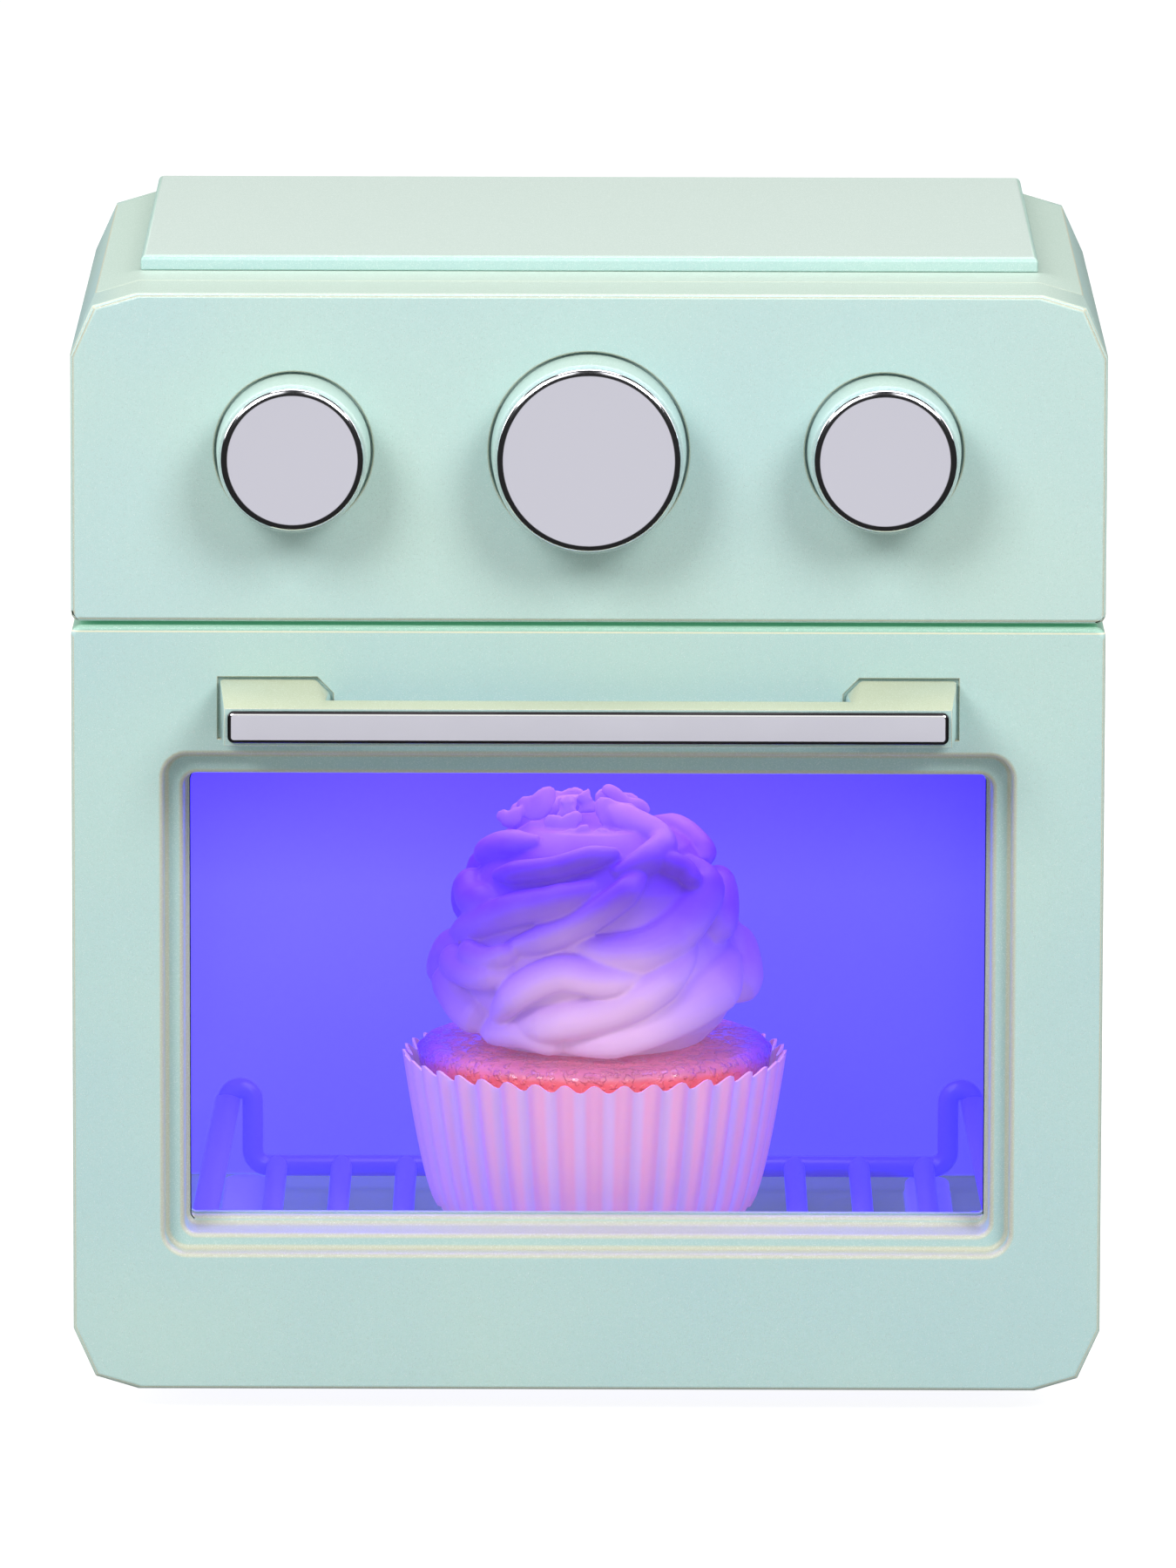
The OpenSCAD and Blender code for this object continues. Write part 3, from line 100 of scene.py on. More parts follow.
# Finishes of the inner works: colour, roughness, metallic
PLAIN_FINISHES = {
    "zinc_steel": ((0.45, 0.46, 0.48), 0.35, 1.0),
    "dark_steel": ((0.12, 0.12, 0.13), 0.4, 1.0),
    "washer_brass": ((0.62, 0.42, 0.16), 0.35, 1.0),
    "contact_nickel": ((0.62, 0.6, 0.55), 0.25, 1.0),
    "magnet_grey": ((0.08, 0.08, 0.09), 0.5, 0.6),
    "black_plastic": ((0.02, 0.02, 0.022), 0.5, 0.0),
    "board_green": ((0.02, 0.13, 0.06), 0.4, 0.0),
    "emitter_clear": ((0.8, 0.78, 1.0), 0.1, 0.0),
    "cell_sleeve": ((0.05, 0.12, 0.32), 0.3, 0.4),
    "wire_red": ((0.45, 0.02, 0.02), 0.5, 0.0),
    "wire_white": ((0.7, 0.7, 0.7), 0.5, 0.0),
    "wire_black": ((0.01, 0.01, 0.01), 0.5, 0.0),
}

# Which nodes of the inner works have which finish
FITTINGS = {
    "zinc_steel": ("hinge_bracket_left", "hinge_bracket_right", "catch_plates", "hinge_pins",
                   "case_screws", "panel_screws", "liner_screws", "bracket_screws", "board_screws",
                   "handle_screws", "door_screws"),
    "black_plastic": ("battery_box", "speaker", "switch_left", "switch_middle", "switch_right"),
    "cell_sleeve": ("battery_1", "battery_2", "battery_3"),
    "contact_nickel": ("battery_contacts", "battery_springs"),
    "magnet_grey": ("door_magnets",),
    "board_green": ("main_board",),
    "wire_red": ("battery_lead",),
    "wire_white": ("light_lead",),
    "wire_black": ("speaker_lead",),
}

# Studio lights: place, width and height in metres, power in watts
STUDIO_LIGHTS = {
    "key_left": ((-0.6, -0.8, 0.8), 0.5, 0.5, 8.9),
    "key_right": ((0.6, -0.8, 0.8), 0.5, 0.5, 8.9),
    "side_left": ((-1.1, 0.15, 0.6), 0.6, 0.6, 5.5),
    "side_right": ((1.1, 0.15, 0.6), 0.6, 0.6, 2.5),
    "top": ((0, 0.1, 1.1), 0.8, 0.6, 6.5),
}


def low(node):
    """Lowest corner of a node of the frame."""
    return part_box(node)[0]


def high(node):
    """Highest corner of a node of the frame."""
    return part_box(node)[1]


def middle(node):
    """Centre of a node's box."""
    return (low(node) + high(node)) / 2


def half_width(node):
    """Half a node's width, which is the radius of a round one."""
    return (high(node).x - low(node).x) / 2


def length_property(name, description, default):
    """A length that a user can change."""
    return bpy.props.FloatProperty(
        name=name, description=description, default=default, min=0.0, unit="LENGTH", precision=5)


def colour_property(name, description, rgb):
    """A colour that a user can change, in linear values."""
    return bpy.props.FloatVectorProperty(
        name=name, description=description, subtype="COLOR", size=3, min=0.0, max=1.0, default=rgb)


class OvenSizes(bpy.types.PropertyGroup):
    """Sizes that the looks use and the frame doesn't hold."""
    shell_round: length_property("Shell rounding", "Rounding of the shells' outer edges", 0.4 * MM)
    bezel_round: length_property("Bezel rounding", "Rounding of the steps round the window", 0.6 * MM)
    handle_round: length_property("Handle rounding", "Rounding of the handle's edges", 0.35 * MM)
    cap_round: length_property("Cap rounding", "Width of the bright caps' rounded edges", 0.85 * MM)
    knob_gap: length_property("Knob gap", "Gap round each knob in its seat", 0.22 * MM)
    rod: length_property("Rack rod", "Radius of the rack's rods", 1.2 * MM)
    flake: length_property("Flake size", "Size of the glitter flakes in the plastic", 0.1 * MM)
    pleats: bpy.props.IntProperty(
        name="Pleats", description="Pleats round the cupcake's paper", default=40, min=8, max=80)


class OvenColours(bpy.types.PropertyGroup):
    """Base colours of the finishes, in linear values."""
    mint: colour_property("Mint", "Case, control panel and knobs", (0.45, 0.62, 0.57))
    mint_cool: colour_property("Cool mint", "Where the mint drifts towards blue", (0.42, 0.60, 0.585))
    door_mint: colour_property("Door mint", "Door, handle and top plate", (0.42, 0.60, 0.555))
    door_mint_cool: colour_property(
        "Cool door mint", "Where the door mint drifts towards blue", (0.39, 0.575, 0.565))
    # Painted shade: the deeper mint on the door's top lip and along edges marked for shade
    mint_shade: colour_property("Deep mint", "Lip along the door's top", (0.27, 0.52, 0.40))
    # Painted sheen and shade: cream tones that the pearl plastics take where they face up, in place of
    # the light from above
    cream: colour_property("Pearl cream", "Top plate where it faces up", (0.46, 0.545, 0.50))
    case_sheen_shade: colour_property(
        "Case cream", "Case and control panel where they face up", (0.42, 0.53, 0.46))
    knob_sheen_shade: colour_property("Knob cream", "Knobs where they face up", (0.34, 0.45, 0.40))
    door_sheen_shade: colour_property("Door cream", "Door and handle where they face up", (0.47, 0.50, 0.345))
    # Painted highlight: the cream along rounded edges
    edge_highlight: colour_property("Edge cream", "Pearl along the edges", (0.50, 0.47, 0.33))
    # Painted light: the cavity's and the rack's colours are the violet lamp's light painted in, deeper
    # at the top, paler in the middle, with a painted floor tone
    violet: colour_property("Cavity", "Top of the lit cavity", (0.075, 0.025, 0.95))
    violet_pale: colour_property("Pale cavity", "Middle of the lit cavity", (0.14, 0.115, 0.78))
    cavity_floor: colour_property("Cavity floor", "Floor of the lit cavity", (0.11, 0.15, 0.12))
    rack: colour_property("Rack", "Rack in the cavity's light", (0.11, 0.075, 0.82))
    bright: colour_property("Bright trim", "Sides of the caps and the strip", (0.72, 0.71, 0.76))
    satin: colour_property("Satin trim", "Faces of the caps and the strip", (0.57, 0.56, 0.63))
    paper: colour_property("Paper", "Ridges of the cupcake's paper", (0.74, 0.34, 0.62))
    paper_pale: colour_property("Paper valleys", "Valleys of the cupcake's paper", (0.62, 0.40, 0.76))
    cake: colour_property("Cake", "Cake under the frosting", (0.50, 0.125, 0.22))
    cake_edge: colour_property("Cake edge", "Cake beside the paper", (0.80, 0.12, 0.14))
    # Painted light on the frosting: cream for the window's light, violet tones for the lamp's light
    frosting: colour_property("Frosting", "Frosting where the window lights it", (0.57, 0.35, 0.60))
    frosting_lit: colour_property(
        "Lit frosting", "Frosting under the violet lamp", (0.13, 0.025, 0.55))
    frosting_low: colour_property(
        "Low lit frosting", "Tops of the frosting's low folds", (0.23, 0.10, 0.55))


def sizes():
    """The sizes that a user can change."""
    return bpy.context.scene.oven_sizes


def colours():
    """The colours that a user can change."""
    return bpy.context.scene.oven_colours


# Meshes

def piece_from(name, mesh, body, node, finish):
    """An object for a mesh that is already in place. It rides on a body and stands for a CAD node."""
    piece = bpy.data.objects.new(name, mesh)
    bpy.context.scene.collection.objects.link(piece)
    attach(piece, body)
    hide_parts(node)
    dress(piece, finish)
    return piece


def round_angles(steps):
    """Evenly spaced angles round a circle."""
    return [2 * math.pi * k / steps for k in range(steps)]


def arc(cx, cy, r, start, end, steps):
    """Points on an arc, angles in degrees."""
    turns = [math.radians(start + (end - start) * k / steps) for k in range(steps + 1)]
    return [(cx + r * math.cos(t), cy + r * math.sin(t)) for t in turns]


def skin(bm, rings, capped=False):
    """Joins rings of points with faces. A ring of one point is a tip, and caps close both ends."""
    for a, b in zip(rings, rings[1:]):
        for k in range(max(len(a), len(b))):
            corners = [a[k % len(a)], a[(k + 1) % len(a)], b[(k + 1) % len(b)], b[k % len(b)]]
            distinct = list(dict.fromkeys(corners))
            if len(distinct) > 2:
                bm.faces.new(distinct)
    if capped:
        bm.faces.new(list(reversed(rings[0])))
        bm.faces.new(rings[-1])


def keep_normals(bm):
    """Notes each vertex's direction, which tells bright plating its face from its rim."""
    bm.normal_update()
    front_y = min(vert.co.y for vert in bm.verts)
    kept = bm.verts.layers.float_vector.new("own_normal")
    for vert in bm.verts:
        vert[kept] = Vector(AHEAD) if vert.co.y < front_y + 0.001 * MM else vert.normal


def mesh_from(name, bm, angle=None, outward=True, own_normals=False):
    """A mesh with the faces of bm, which is freed.

    It is shaded smooth where its faces turn by less than an angle in degrees, if one is given.
    """
    if outward:
        bmesh.ops.recalc_face_normals(bm, faces=bm.faces)
    if own_normals:
        keep_normals(bm)
    mesh = bpy.data.meshes.new(name)
    bm.to_mesh(mesh)
    bm.free()
    if angle is not None:
        for face in mesh.polygons:
            face.use_smooth = True
        mesh.set_sharp_from_angle(angle=math.radians(angle))
    return mesh


def joined(bm):
    """Joins doubled points and makes flat faces whole."""
    bmesh.ops.remove_doubles(bm, verts=bm.verts, dist=JOIN)
    bmesh.ops.dissolve_limit(bm, angle_limit=FLAT, verts=bm.verts, edges=bm.edges)
    return bm


def turned_rings(bm, profile, centre, steps):
    """Rings of points about Y through centre, one for each (radius, y). A radius of 0 gives a tip."""
    rings = []
    for r, y in profile:
        if r < 1e-7:
            rings.append([bm.verts.new((centre.x, y, centre.z))])
        else:
            rings.append([
                bm.verts.new((centre.x + r * math.cos(a), y, centre.z + r * math.sin(a)))
                for a in round_angles(steps)])
    return rings


def lathe(name, profile, centre, steps=128):
    """A mesh turned about Y through centre. The profile lists (radius, y) and starts at the front."""
    bm = bmesh.new()
    skin(bm, turned_rings(bm, profile, centre, steps))
    return mesh_from(name, bm, 35, own_normals=True)


def cut_grooves(bm, rings, depth):
    """Cuts round grooves into the front face, one for each (centre, inner radius, outer radius)."""
    cutter_bm = bmesh.new()
    ahead, end = FRONT_Y - 1 * MM, FRONT_Y + depth
    for centre, inner, outer in rings:
        section = ((inner, ahead), (outer, ahead), (outer, end), (inner, end))
        loops = turned_rings(cutter_bm, section, centre, 96)
        skin(cutter_bm, loops + loops[:1])
    bmesh.ops.recalc_face_normals(cutter_bm, faces=cutter_bm.faces)
    pair = []
    for source in (bm, cutter_bm):
        mesh = mesh_from("groove_work", source, outward=False)
        pair.append(bpy.data.objects.new("groove_work", mesh))
        bpy.context.scene.collection.objects.link(pair[-1])
    shell, cutter = pair
    groove = shell.modifiers.new("groove", "BOOLEAN")
    groove.operation = "DIFFERENCE"
    groove.object = cutter
    depsgraph = bpy.context.evaluated_depsgraph_get()
    cut_bm = bmesh.new()
    cut_bm.from_mesh(shell.evaluated_get(depsgraph).to_mesh())
    for item in pair:
        mesh = item.data
        bpy.data.objects.remove(item)
        bpy.data.meshes.remove(mesh)
    return joined(cut_bm)


def softened(name, node, body, finish, passes, grooves=None):
    """A copy of a CAD shell with rounded edges.

    passes lists (pick(point) or None for every edge, width, segments, tint). The tint goes into the
    attribute "edge" along the middle of the rounding: 1 for a painted cream highlight, -1 for painted
    shade.
    """
    bm = bmesh.new()
    bm.from_mesh(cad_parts[node].data)
    joined(bm)
    if grooves:
        bm = cut_grooves(bm, *grooves)
    mark = bm.verts.layers.float.new("edge")
    done = set()
    for pick, width, segments, tint in passes:
        edges = [
            e for e in bm.edges
            if e.is_manifold and e.calc_face_angle() > CORNER
            and not any(v in done for v in e.verts)
            and (pick is None or all(pick(v.co) for v in e.verts))]
        made = bmesh.ops.bevel(
            bm, geom=edges, offset=width, offset_type="OFFSET", segments=segments, profile=0.5,
            affect="EDGES", clamp_overlap=False)
        rounded = set(made["faces"])
        done = {v for v in done if v.is_valid} | set(made["verts"])
        for vert in made["verts"]:
            vert[mark] = tint if all(face in rounded for face in vert.link_faces) else 0.0
    piece = piece_from(name, mesh_from(name, bm, 40, outward=False), body, node, finish)
    weighted = piece.modifiers.new("even_normals", "WEIGHTED_NORMAL")
    weighted.keep_sharp = True


def rounded_plate(name, lo, hi, corner, edge):
    """A flat plate with its face towards -Y, round corners and a rounded front edge."""
    centre = (lo + hi) / 2
    half_x, half_z = (hi.x - lo.x) / 2, (hi.z - lo.z) / 2
    bm = bmesh.new()
    loops = []
    front = [(edge + x, lo.y + edge + y) for x, y in arc(0, 0, edge, 180, 270, 8)]
    for inset, y in [(0.0, hi.y)] + front:
        r = max(corner - inset, 0.02 * MM)
        loop = []
        for quarter, (sx, sz) in enumerate(((1, 1), (-1, 1), (-1, -1), (1, -1))):
            cx = centre.x + sx * (half_x - inset - r)
            cz = centre.z + sz * (half_z - inset - r)
            start = quarter * 90
            loop += [bm.verts.new((x, y, z)) for x, z in arc(cx, cz, r, start, start + 90, 8)]
        loops.append(loop)
    skin(bm, loops)
    bm.faces.new(loops[0])
    bm.faces.new(loops[-1])
    return mesh_from(name, bm, 35, own_normals=True)


def tube(bm, path, radius, sides, reference=(0, 1, 0)):
    """Adds a round tube with closed ends along a path of points."""
    ref = Vector(reference)
    points = [Vector(p) for p in path]
    rings = []
    for i, p in enumerate(points):
        along = (points[min(i + 1, len(points) - 1)] - points[max(i - 1, 0)]).normalized()
        across = (ref - ref.dot(along) * along).normalized()
        up = along.cross(across)
        rings.append([
            bm.verts.new(p + radius * (math.cos(a) * across + math.sin(a) * up))
            for a in round_angles(sides)])
    skin(bm, rings, capped=True)


def ribbon(bm, points, outs, widths, depths, lean=0.0, sides=20):
    """Adds a flattened strand. outs point off what it lies on, and lean tips one edge outwards."""
    last = len(points) - 1
    rings = []
    for i, p in enumerate(points):
        along = (points[min(i + 1, last)] - points[max(i - 1, 0)]).normalized()
        out = (outs[i] - outs[i].dot(along) * along).normalized()
        across = along.cross(out)
        tipped_across = math.cos(lean) * across + math.sin(lean) * out
        tipped_out = math.cos(lean) * out - math.sin(lean) * across
        rings.append([
            bm.verts.new(p + widths[i] * math.cos(a) * tipped_across
                         + depths[i] * math.sin(a) * tipped_out)
            for a in round_angles(sides)])
    skin(bm, rings, capped=True)


def through(points, steps):
    """A smooth line through points, each a list of numbers."""
    before = [2 * a - b for a, b in zip(points[0], points[1])]
    after = [2 * a - b for a, b in zip(points[-1], points[-2])]
    ends = [before, *points, after]
    line = []
    for four in zip(ends, ends[1:], ends[2:], ends[3:]):
        for k in range(steps):
            t = k / steps
            line.append([
                0.5 * (2 * b + (c - a) * t + (2 * a - 5 * b + 4 * c - d) * t ** 2
                       + (3 * b - a - 3 * c + d) * t ** 3)
                for a, b, c, d in zip(*four)])
    line.append(list(points[-1]))
    return line


# Shader parts

class Graph:
    """Short hands for building a node tree."""

    def __init__(self, tree):
        self.tree = tree

    def feed(self, node, inputs):
        """Links or sets a node's inputs."""
        for key, value in inputs.items():
            if isinstance(value, bpy.types.NodeSocket):
                self.tree.links.new(value, node.inputs[key])
            else:
                node.inputs[key].default_value = value

    def add(self, kind, inputs=None, **settings):
        node = self.tree.nodes.new(kind)
        for key, value in settings.items():
            setattr(node, key, value)
        self.feed(node, inputs or {})
        return node

    def math(self, operation, a, b=0.0, clamp=False):
        return self.add("ShaderNodeMath", {0: a, 1: b}, operation=operation, use_clamp=clamp).outputs[0]

    def times(self, a, b):
        return self.math("MULTIPLY", a, b)

    def gap(self, a, b):
        """How far two values lie apart."""
        return self.math("ABSOLUTE", self.math("SUBTRACT", a, b))

    def mix(self, factor, a, b):
        return self.add("ShaderNodeMix", {0: factor, 6: a, 7: b}, data_type="RGBA").outputs[2]

    def ramp(self, value, low_in, high_in, low_out=0.0, high_out=1.0):
        return self.add(
            "ShaderNodeMapRange", {0: value, 1: low_in, 2: high_in, 3: low_out, 4: high_out},
            clamp=True).outputs[0]

    def dot(self, a, b):
        return self.add("ShaderNodeVectorMath", {0: a, 1: b}, operation="DOT_PRODUCT").outputs["Value"]

    def place(self):
        return self.add("ShaderNodeTexCoord").outputs["Object"]

    def axes(self, vector=None):
        """The X, Y and Z of a vector, or of the place on the piece."""
        return list(self.add("ShaderNodeSeparateXYZ", {0: vector or self.place()}).outputs)

    def noise(self, scale, detail=2.0, roughness=0.5):
        return self.add("ShaderNodeTexNoise", {
            "Vector": self.place(), "Scale": scale, "Detail": detail,
            "Roughness": roughness}).outputs[0]

    def bump(self, strength, distance, height, **more):
        return self.add("ShaderNodeBump", {
            "Strength": strength, "Distance": distance, "Height": height, **more}).outputs[0]


def rgba(rgb, scale=1.0):
    """A colour with alpha, made lighter or darker by a factor."""
    return (rgb[0] * scale, rgb[1] * scale, rgb[2] * scale, 1.0)


def new_group(name, inputs, outputs):
    """A shader node group with named values as inputs. Returns its graph, inputs and output node.

    inputs holds (name, kind, default) and outputs (name, kind).
    """
    group = bpy.data.node_groups.new(name, "ShaderNodeTree")
    for label, kind, default in inputs:
        socket = group.interface.new_socket(name=label, in_out="INPUT", socket_type="NodeSocket" + kind)
        socket.default_value = default
    for label, kind in outputs:
        group.interface.new_socket(name=label, in_out="OUTPUT", socket_type="NodeSocket" + kind)
    g = Graph(group)
    return g, g.add("NodeGroupInput").outputs, g.add("NodeGroupOutput")


def use_group(g, name, **inputs):
    """Places a shader group with its own values, and returns its outputs."""
    node = g.add("ShaderNodeGroup", node_tree=bpy.data.node_groups[name])
    g.feed(node, inputs)
    return node.outputs


def facing(g, way, start, end):
    """How far a surface faces one way, from 0 where the cosine is start to 1 where it is end."""
    return use_group(g, "facing", Way=way, From=start, To=end)["Mask"]


def flakes_group():
    """Glitter: cells a fraction of a millimetre wide, a few of them bright and tilted their own way."""
    g, given, out = new_group(
        "glitter_flakes",
        [("Size", "Float", 0.16 * MM), ("Share", "Float", 0.1), ("Tilt", "Float", 0.2)],
        [("Mask", "Float"), ("Normal", "Vector"), ("Grain", "Float")])
    scale = g.math("DIVIDE", 1.0, given["Size"])
    cells = g.add("ShaderNodeTexVoronoi", {"Vector": g.place(), "Scale": scale}, feature="F1").outputs
    colour = g.add("ShaderNodeSeparateColor", {0: cells["Color"]}).outputs
    chosen = g.math("LESS_THAN", colour[0], given["Share"])
    mask = g.times(chosen, g.math("LESS_THAN", cells["Distance"], 0.45))
    centred = g.add("ShaderNodeVectorMath", {0: cells["Color"], 1: (0.5, 0.5, 0.5)},
                    operation="SUBTRACT")
    lean = g.add("ShaderNodeVectorMath", {0: centred.outputs[0], "Scale": g.times(mask, given["Tilt"])},
                 operation="SCALE")
    normal = g.add("ShaderNodeNewGeometry").outputs["Normal"]
    leaning = g.add("ShaderNodeVectorMath", {0: normal, 1: lean.outputs[0]}, operation="ADD")
    unit = g.add("ShaderNodeVectorMath", {0: leaning.outputs[0]}, operation="NORMALIZE")
    g.feed(out, {"Mask": mask, "Normal": unit.outputs[0], "Grain": colour[1]})


def drift_group():
    """Slow drift of colour over a moulding, and the fine waviness of its surface."""
    g, given, out = new_group(
        "moulding_drift", [("Patch", "Float", 30 * MM), ("Wave", "Float", 1.2 * MM)],
        [("Drift", "Float"), ("Waves", "Float"), ("Grain", "Float")])
    patch = g.noise(g.math("DIVIDE", 1.0, given["Patch"]))
    waves = g.noise(g.math("DIVIDE", 1.0, given["Wave"]), 1.0)
    grain = g.noise(g.math("DIVIDE", 4.0, given["Wave"]), 2.0, 0.6)
    g.feed(out, {"Drift": g.ramp(patch, 0.35, 0.65), "Waves": waves, "Grain": grain})


def facing_group():
    """How far a surface faces one way, from 0 to 1, in the piece's own directions."""
    g, given, out = new_group(
        "facing", [("Way", "Vector", UP), ("From", "Float", 0.2), ("To", "Float", 0.95)],
        [("Mask", "Float")])
    normal = g.add("ShaderNodeTexCoord").outputs["Normal"]
    g.feed(out, {"Mask": g.ramp(g.dot(normal, given["Way"]), given["From"], given["To"])})


def new_material(name):
    """A material's graph to build on, and its Principled shader."""
    material = bpy.data.materials.new(name)
    material.use_nodes = True
    tree = material.node_tree
    tree.nodes.clear()
    g = Graph(tree)
    shader = g.add("ShaderNodeBsdfPrincipled")
    g.add("ShaderNodeOutputMaterial", {0: shader.outputs[0]})
    return g, shader


def pearl_plastic(name, base, cool, cream, highlight_tone, deep, lipped=False):
    """Pearl plastic with fine glitter.

    It drifts in tone. Where it faces up it has painted sheen and shade in cream, along its edges
    painted cream highlights and painted deeper shade, and in the door's gap painted green light. A
    lipped one has painted shade on its lip and a painted cream highlight line along the door's top.
    """
    g, shader = new_material(name)
    drift = use_group(g, "moulding_drift", Patch=34 * MM, Wave=5 * MM)
    flakes = use_group(g, "glitter_flakes", Size=sizes().flake, Share=0.25, Tilt=0.25)
    upward = facing(g, UP, 0.5, 1.0)
    downward = facing(g, DOWN, 0.7, 0.9)
    edge = g.add("ShaderNodeAttribute", attribute_name="edge").outputs["Fac"]
    z = g.axes()[2]
    top = high("door_outer").z
    panel_low = low("control_panel").z
    toned = g.mix(drift["Drift"], rgba(base), rgba(cool))
    # Painted sheen and shade: cream where the surface faces up
    turned = g.mix(upward, toned, rgba(cream))
    # Painted shade along edges marked -1, painted cream highlight along edges marked 1
    edge_shaded = g.mix(g.ramp(edge, 0.0, -1.0, 0.0, 0.8), turned, rgba(deep))
    edged = g.mix(g.ramp(edge, 0.0, 1.0, 0.0, 0.95), edge_shaded, rgba(highlight_tone))
    if lipped:
        # Painted shade on the door's top lip, and a painted highlight line just below it
        lip = g.ramp(z, top - 0.52 * MM, top - 0.46 * MM, 0.0, 0.85)
        line = g.ramp(g.gap(z, top - 0.62 * MM), 0.06 * MM, 0.1 * MM, 0.9, 0.0)
        edged = g.mix(line, g.mix(lip, edged, rgba(deep)), rgba(highlight_tone, 1.6))
    grained = g.mix(g.ramp(flakes["Grain"], 0.0, 1.0, 0.0, 0.08), edged, WHITE)
    speckled = g.mix(g.times(flakes["Mask"], 0.36), grained, GLITTER)
    gap = panel_low - top
    # Painted light: a faint green emission on the lips of the door's gap, in place of light that the
    # translucent plastic carries there
    gap_light_mask = g.ramp(g.gap(z, (top + panel_low) / 2), gap * 0.52, gap * 0.6, 1.0, 0.0)
    level = g.math("ADD", g.ramp(upward, 0.6, 1.0), downward)
    g.feed(shader, {
        "Base Color": speckled,
        "Emission Color": g.mix(g.times(gap_light_mask, level), BLACK, PAINTED_GAP_LIGHT),
        "Emission Strength": 1.0,
        "Metallic": g.times(flakes["Mask"], 0.3),
        "Roughness": g.ramp(drift["Grain"], 0.0, 1.0, 0.42, 0.52),
        "Normal": g.bump(0.03, 0.05 * MM, drift["Waves"], Normal=flakes["Normal"]),
        "Coat Weight": 0.08,
        "Coat Roughness": 0.2,
    })


def lit_plastic(name, top, middle_tone, floor, glow, rough=0.3):
    """Cavity plastic with the violet lamp's light painted in as a glow: deeper at the top, paler to the
    left, with a painted floor tone, and a plain flange with a faint painted glow.
    """
    g, shader = new_material(name)
    drift = use_group(g, "moulding_drift", Patch=50 * MM, Wave=3 * MM)
    x, y, z = g.axes()
    lo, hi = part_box("cavity_liner")
    # Painted light: deeper violet towards the top, paler to the left, and the floor tone where the
    # floor faces up
    rise = g.ramp(z, lo.z + 40 * MM, hi.z - 22 * MM)
    side = g.ramp(x, -hi.x, hi.x * 0.8, 1.15, 0.9)
    flange = g.times(facing(g, AHEAD, 0.5, 0.9), g.ramp(y, lo.y + 1 * MM, lo.y + 0.6 * MM))
    near_floor = g.ramp(z, FLOOR_Z + 0.3 * MM, FLOOR_Z + 0.6 * MM, 1.0, 0.0)
    ground = g.times(near_floor, facing(g, UP, 0.3, 0.9))
    toned = g.mix(rise, rgba(middle_tone), rgba(top))
    floored = g.mix(ground, toned, rgba(floor))
    worn = g.mix(g.ramp(drift["Drift"], 0.0, 1.0, 0.0, 0.12), floored, rgba(top, 0.7))
    shaded = g.add("ShaderNodeVectorMath", {0: worn, "Scale": side}, operation="SCALE").outputs[0]
    g.feed(shader, {
        "Base Color": g.mix(flange, shaded, FLANGE),
        # Painted glow: a liner or rack made with this gives out the lamp's light though it is no lamp;
        # the lamp's lens glows as the lamp itself
        "Emission Color": g.mix(flange, shaded, FLANGE_GLOW),
        "Emission Strength": glow,
        "Roughness": g.ramp(drift["Grain"], 0.0, 1.0, rough, rough + 0.1),
        "Normal": g.bump(0.1, 0.1 * MM, drift["Waves"]),
    })


def bright_plating(name, base, satin, glint=0.0):
    """Bright plating: a satin face, a mirror along its edge, and a dark reflection painted on its rim.

    The glint is a painted highlight: a thin bright line of emission along an edge that faces ahead and
    a little up.
    """
    g, shader = new_material(name)
    drift = use_group(g, "moulding_drift", Patch=8 * MM, Wave=2.5 * MM)
    normal = g.add("ShaderNodeAttribute", attribute_name="own_normal").outputs["Vector"]
    ahead = g.dot(normal, AHEAD)
    face = g.ramp(ahead, 0.996, 0.999)
    # Painted reflection: a dark band on the rounded rim, where the surroundings would mirror dark
    rim = g.ramp(ahead, 0.87, 0.79)
    # Painted highlight: the glint's line, given out as white emission
    lit_edge = g.ramp(g.dot(normal, (0.0, -0.966, 0.259)), 0.972, 0.985)
    toned = g.mix(face, rgba(base), rgba(satin))
    drifted = g.mix(drift["Drift"], toned, g.mix(face, rgba(base, 0.95), rgba(satin, 0.97)))
    grained = g.ramp(drift["Grain"], 0.0, 1.0, 0.06, 0.12)
    g.feed(shader, {
        "Base Color": g.mix(rim, drifted, PAINTED_DARK_REFLECTION),
        "Emission Color": g.mix(lit_edge, BLACK, WHITE),
        "Emission Strength": glint,
        "Metallic": g.ramp(face, 0.0, 1.0, 1.0, 0.05),
        "Roughness": g.math("ADD", grained, g.times(face, 0.3)),
        "Normal": g.bump(0.03, 0.02 * MM, drift["Waves"]),
    })


def clear_pane(name):
    """Clear window plastic, thin enough that it bends nothing."""
    g, shader = new_material(name)
    drift = use_group(g, "moulding_drift", Patch=25 * MM, Wave=6 * MM)
    g.feed(shader, {
        "Base Color": (0.25, 0.25, 0.35, 1.0),
        "Roughness": g.ramp(drift["Grain"], 0.0, 1.0, 0.02, 0.05),
        "Alpha": 0.04,
        "IOR": 1.3,
    })


def plain_finish(name, base, rough, metallic=0.0, wave=1.0 * MM, bump_strength=0.1):
    """A plain moulded, rubber or metal finish with some variation in tone and gloss."""
    g, shader = new_material(name)
    drift = use_group(g, "moulding_drift", Patch=10 * MM, Wave=wave)
    g.feed(shader, {
        "Base Color": g.mix(drift["Grain"], rgba(base, 0.85), rgba(base, 1.15)),
        "Metallic": metallic,
        "Roughness": g.ramp(drift["Grain"], 0.2, 0.8, rough * 0.85, rough * 1.15),
        "Normal": g.bump(bump_strength, 0.05 * MM, drift["Waves"]),
    })


def dress(piece, material):
    """Gives a piece or a CAD node one material."""
    piece.data.materials.clear()
    piece.data.materials.append(bpy.data.materials[material])


def dress_nodes(material, *nodes):
    """Gives CAD nodes one material."""
    for node in nodes:
        dress(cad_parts[node], material)


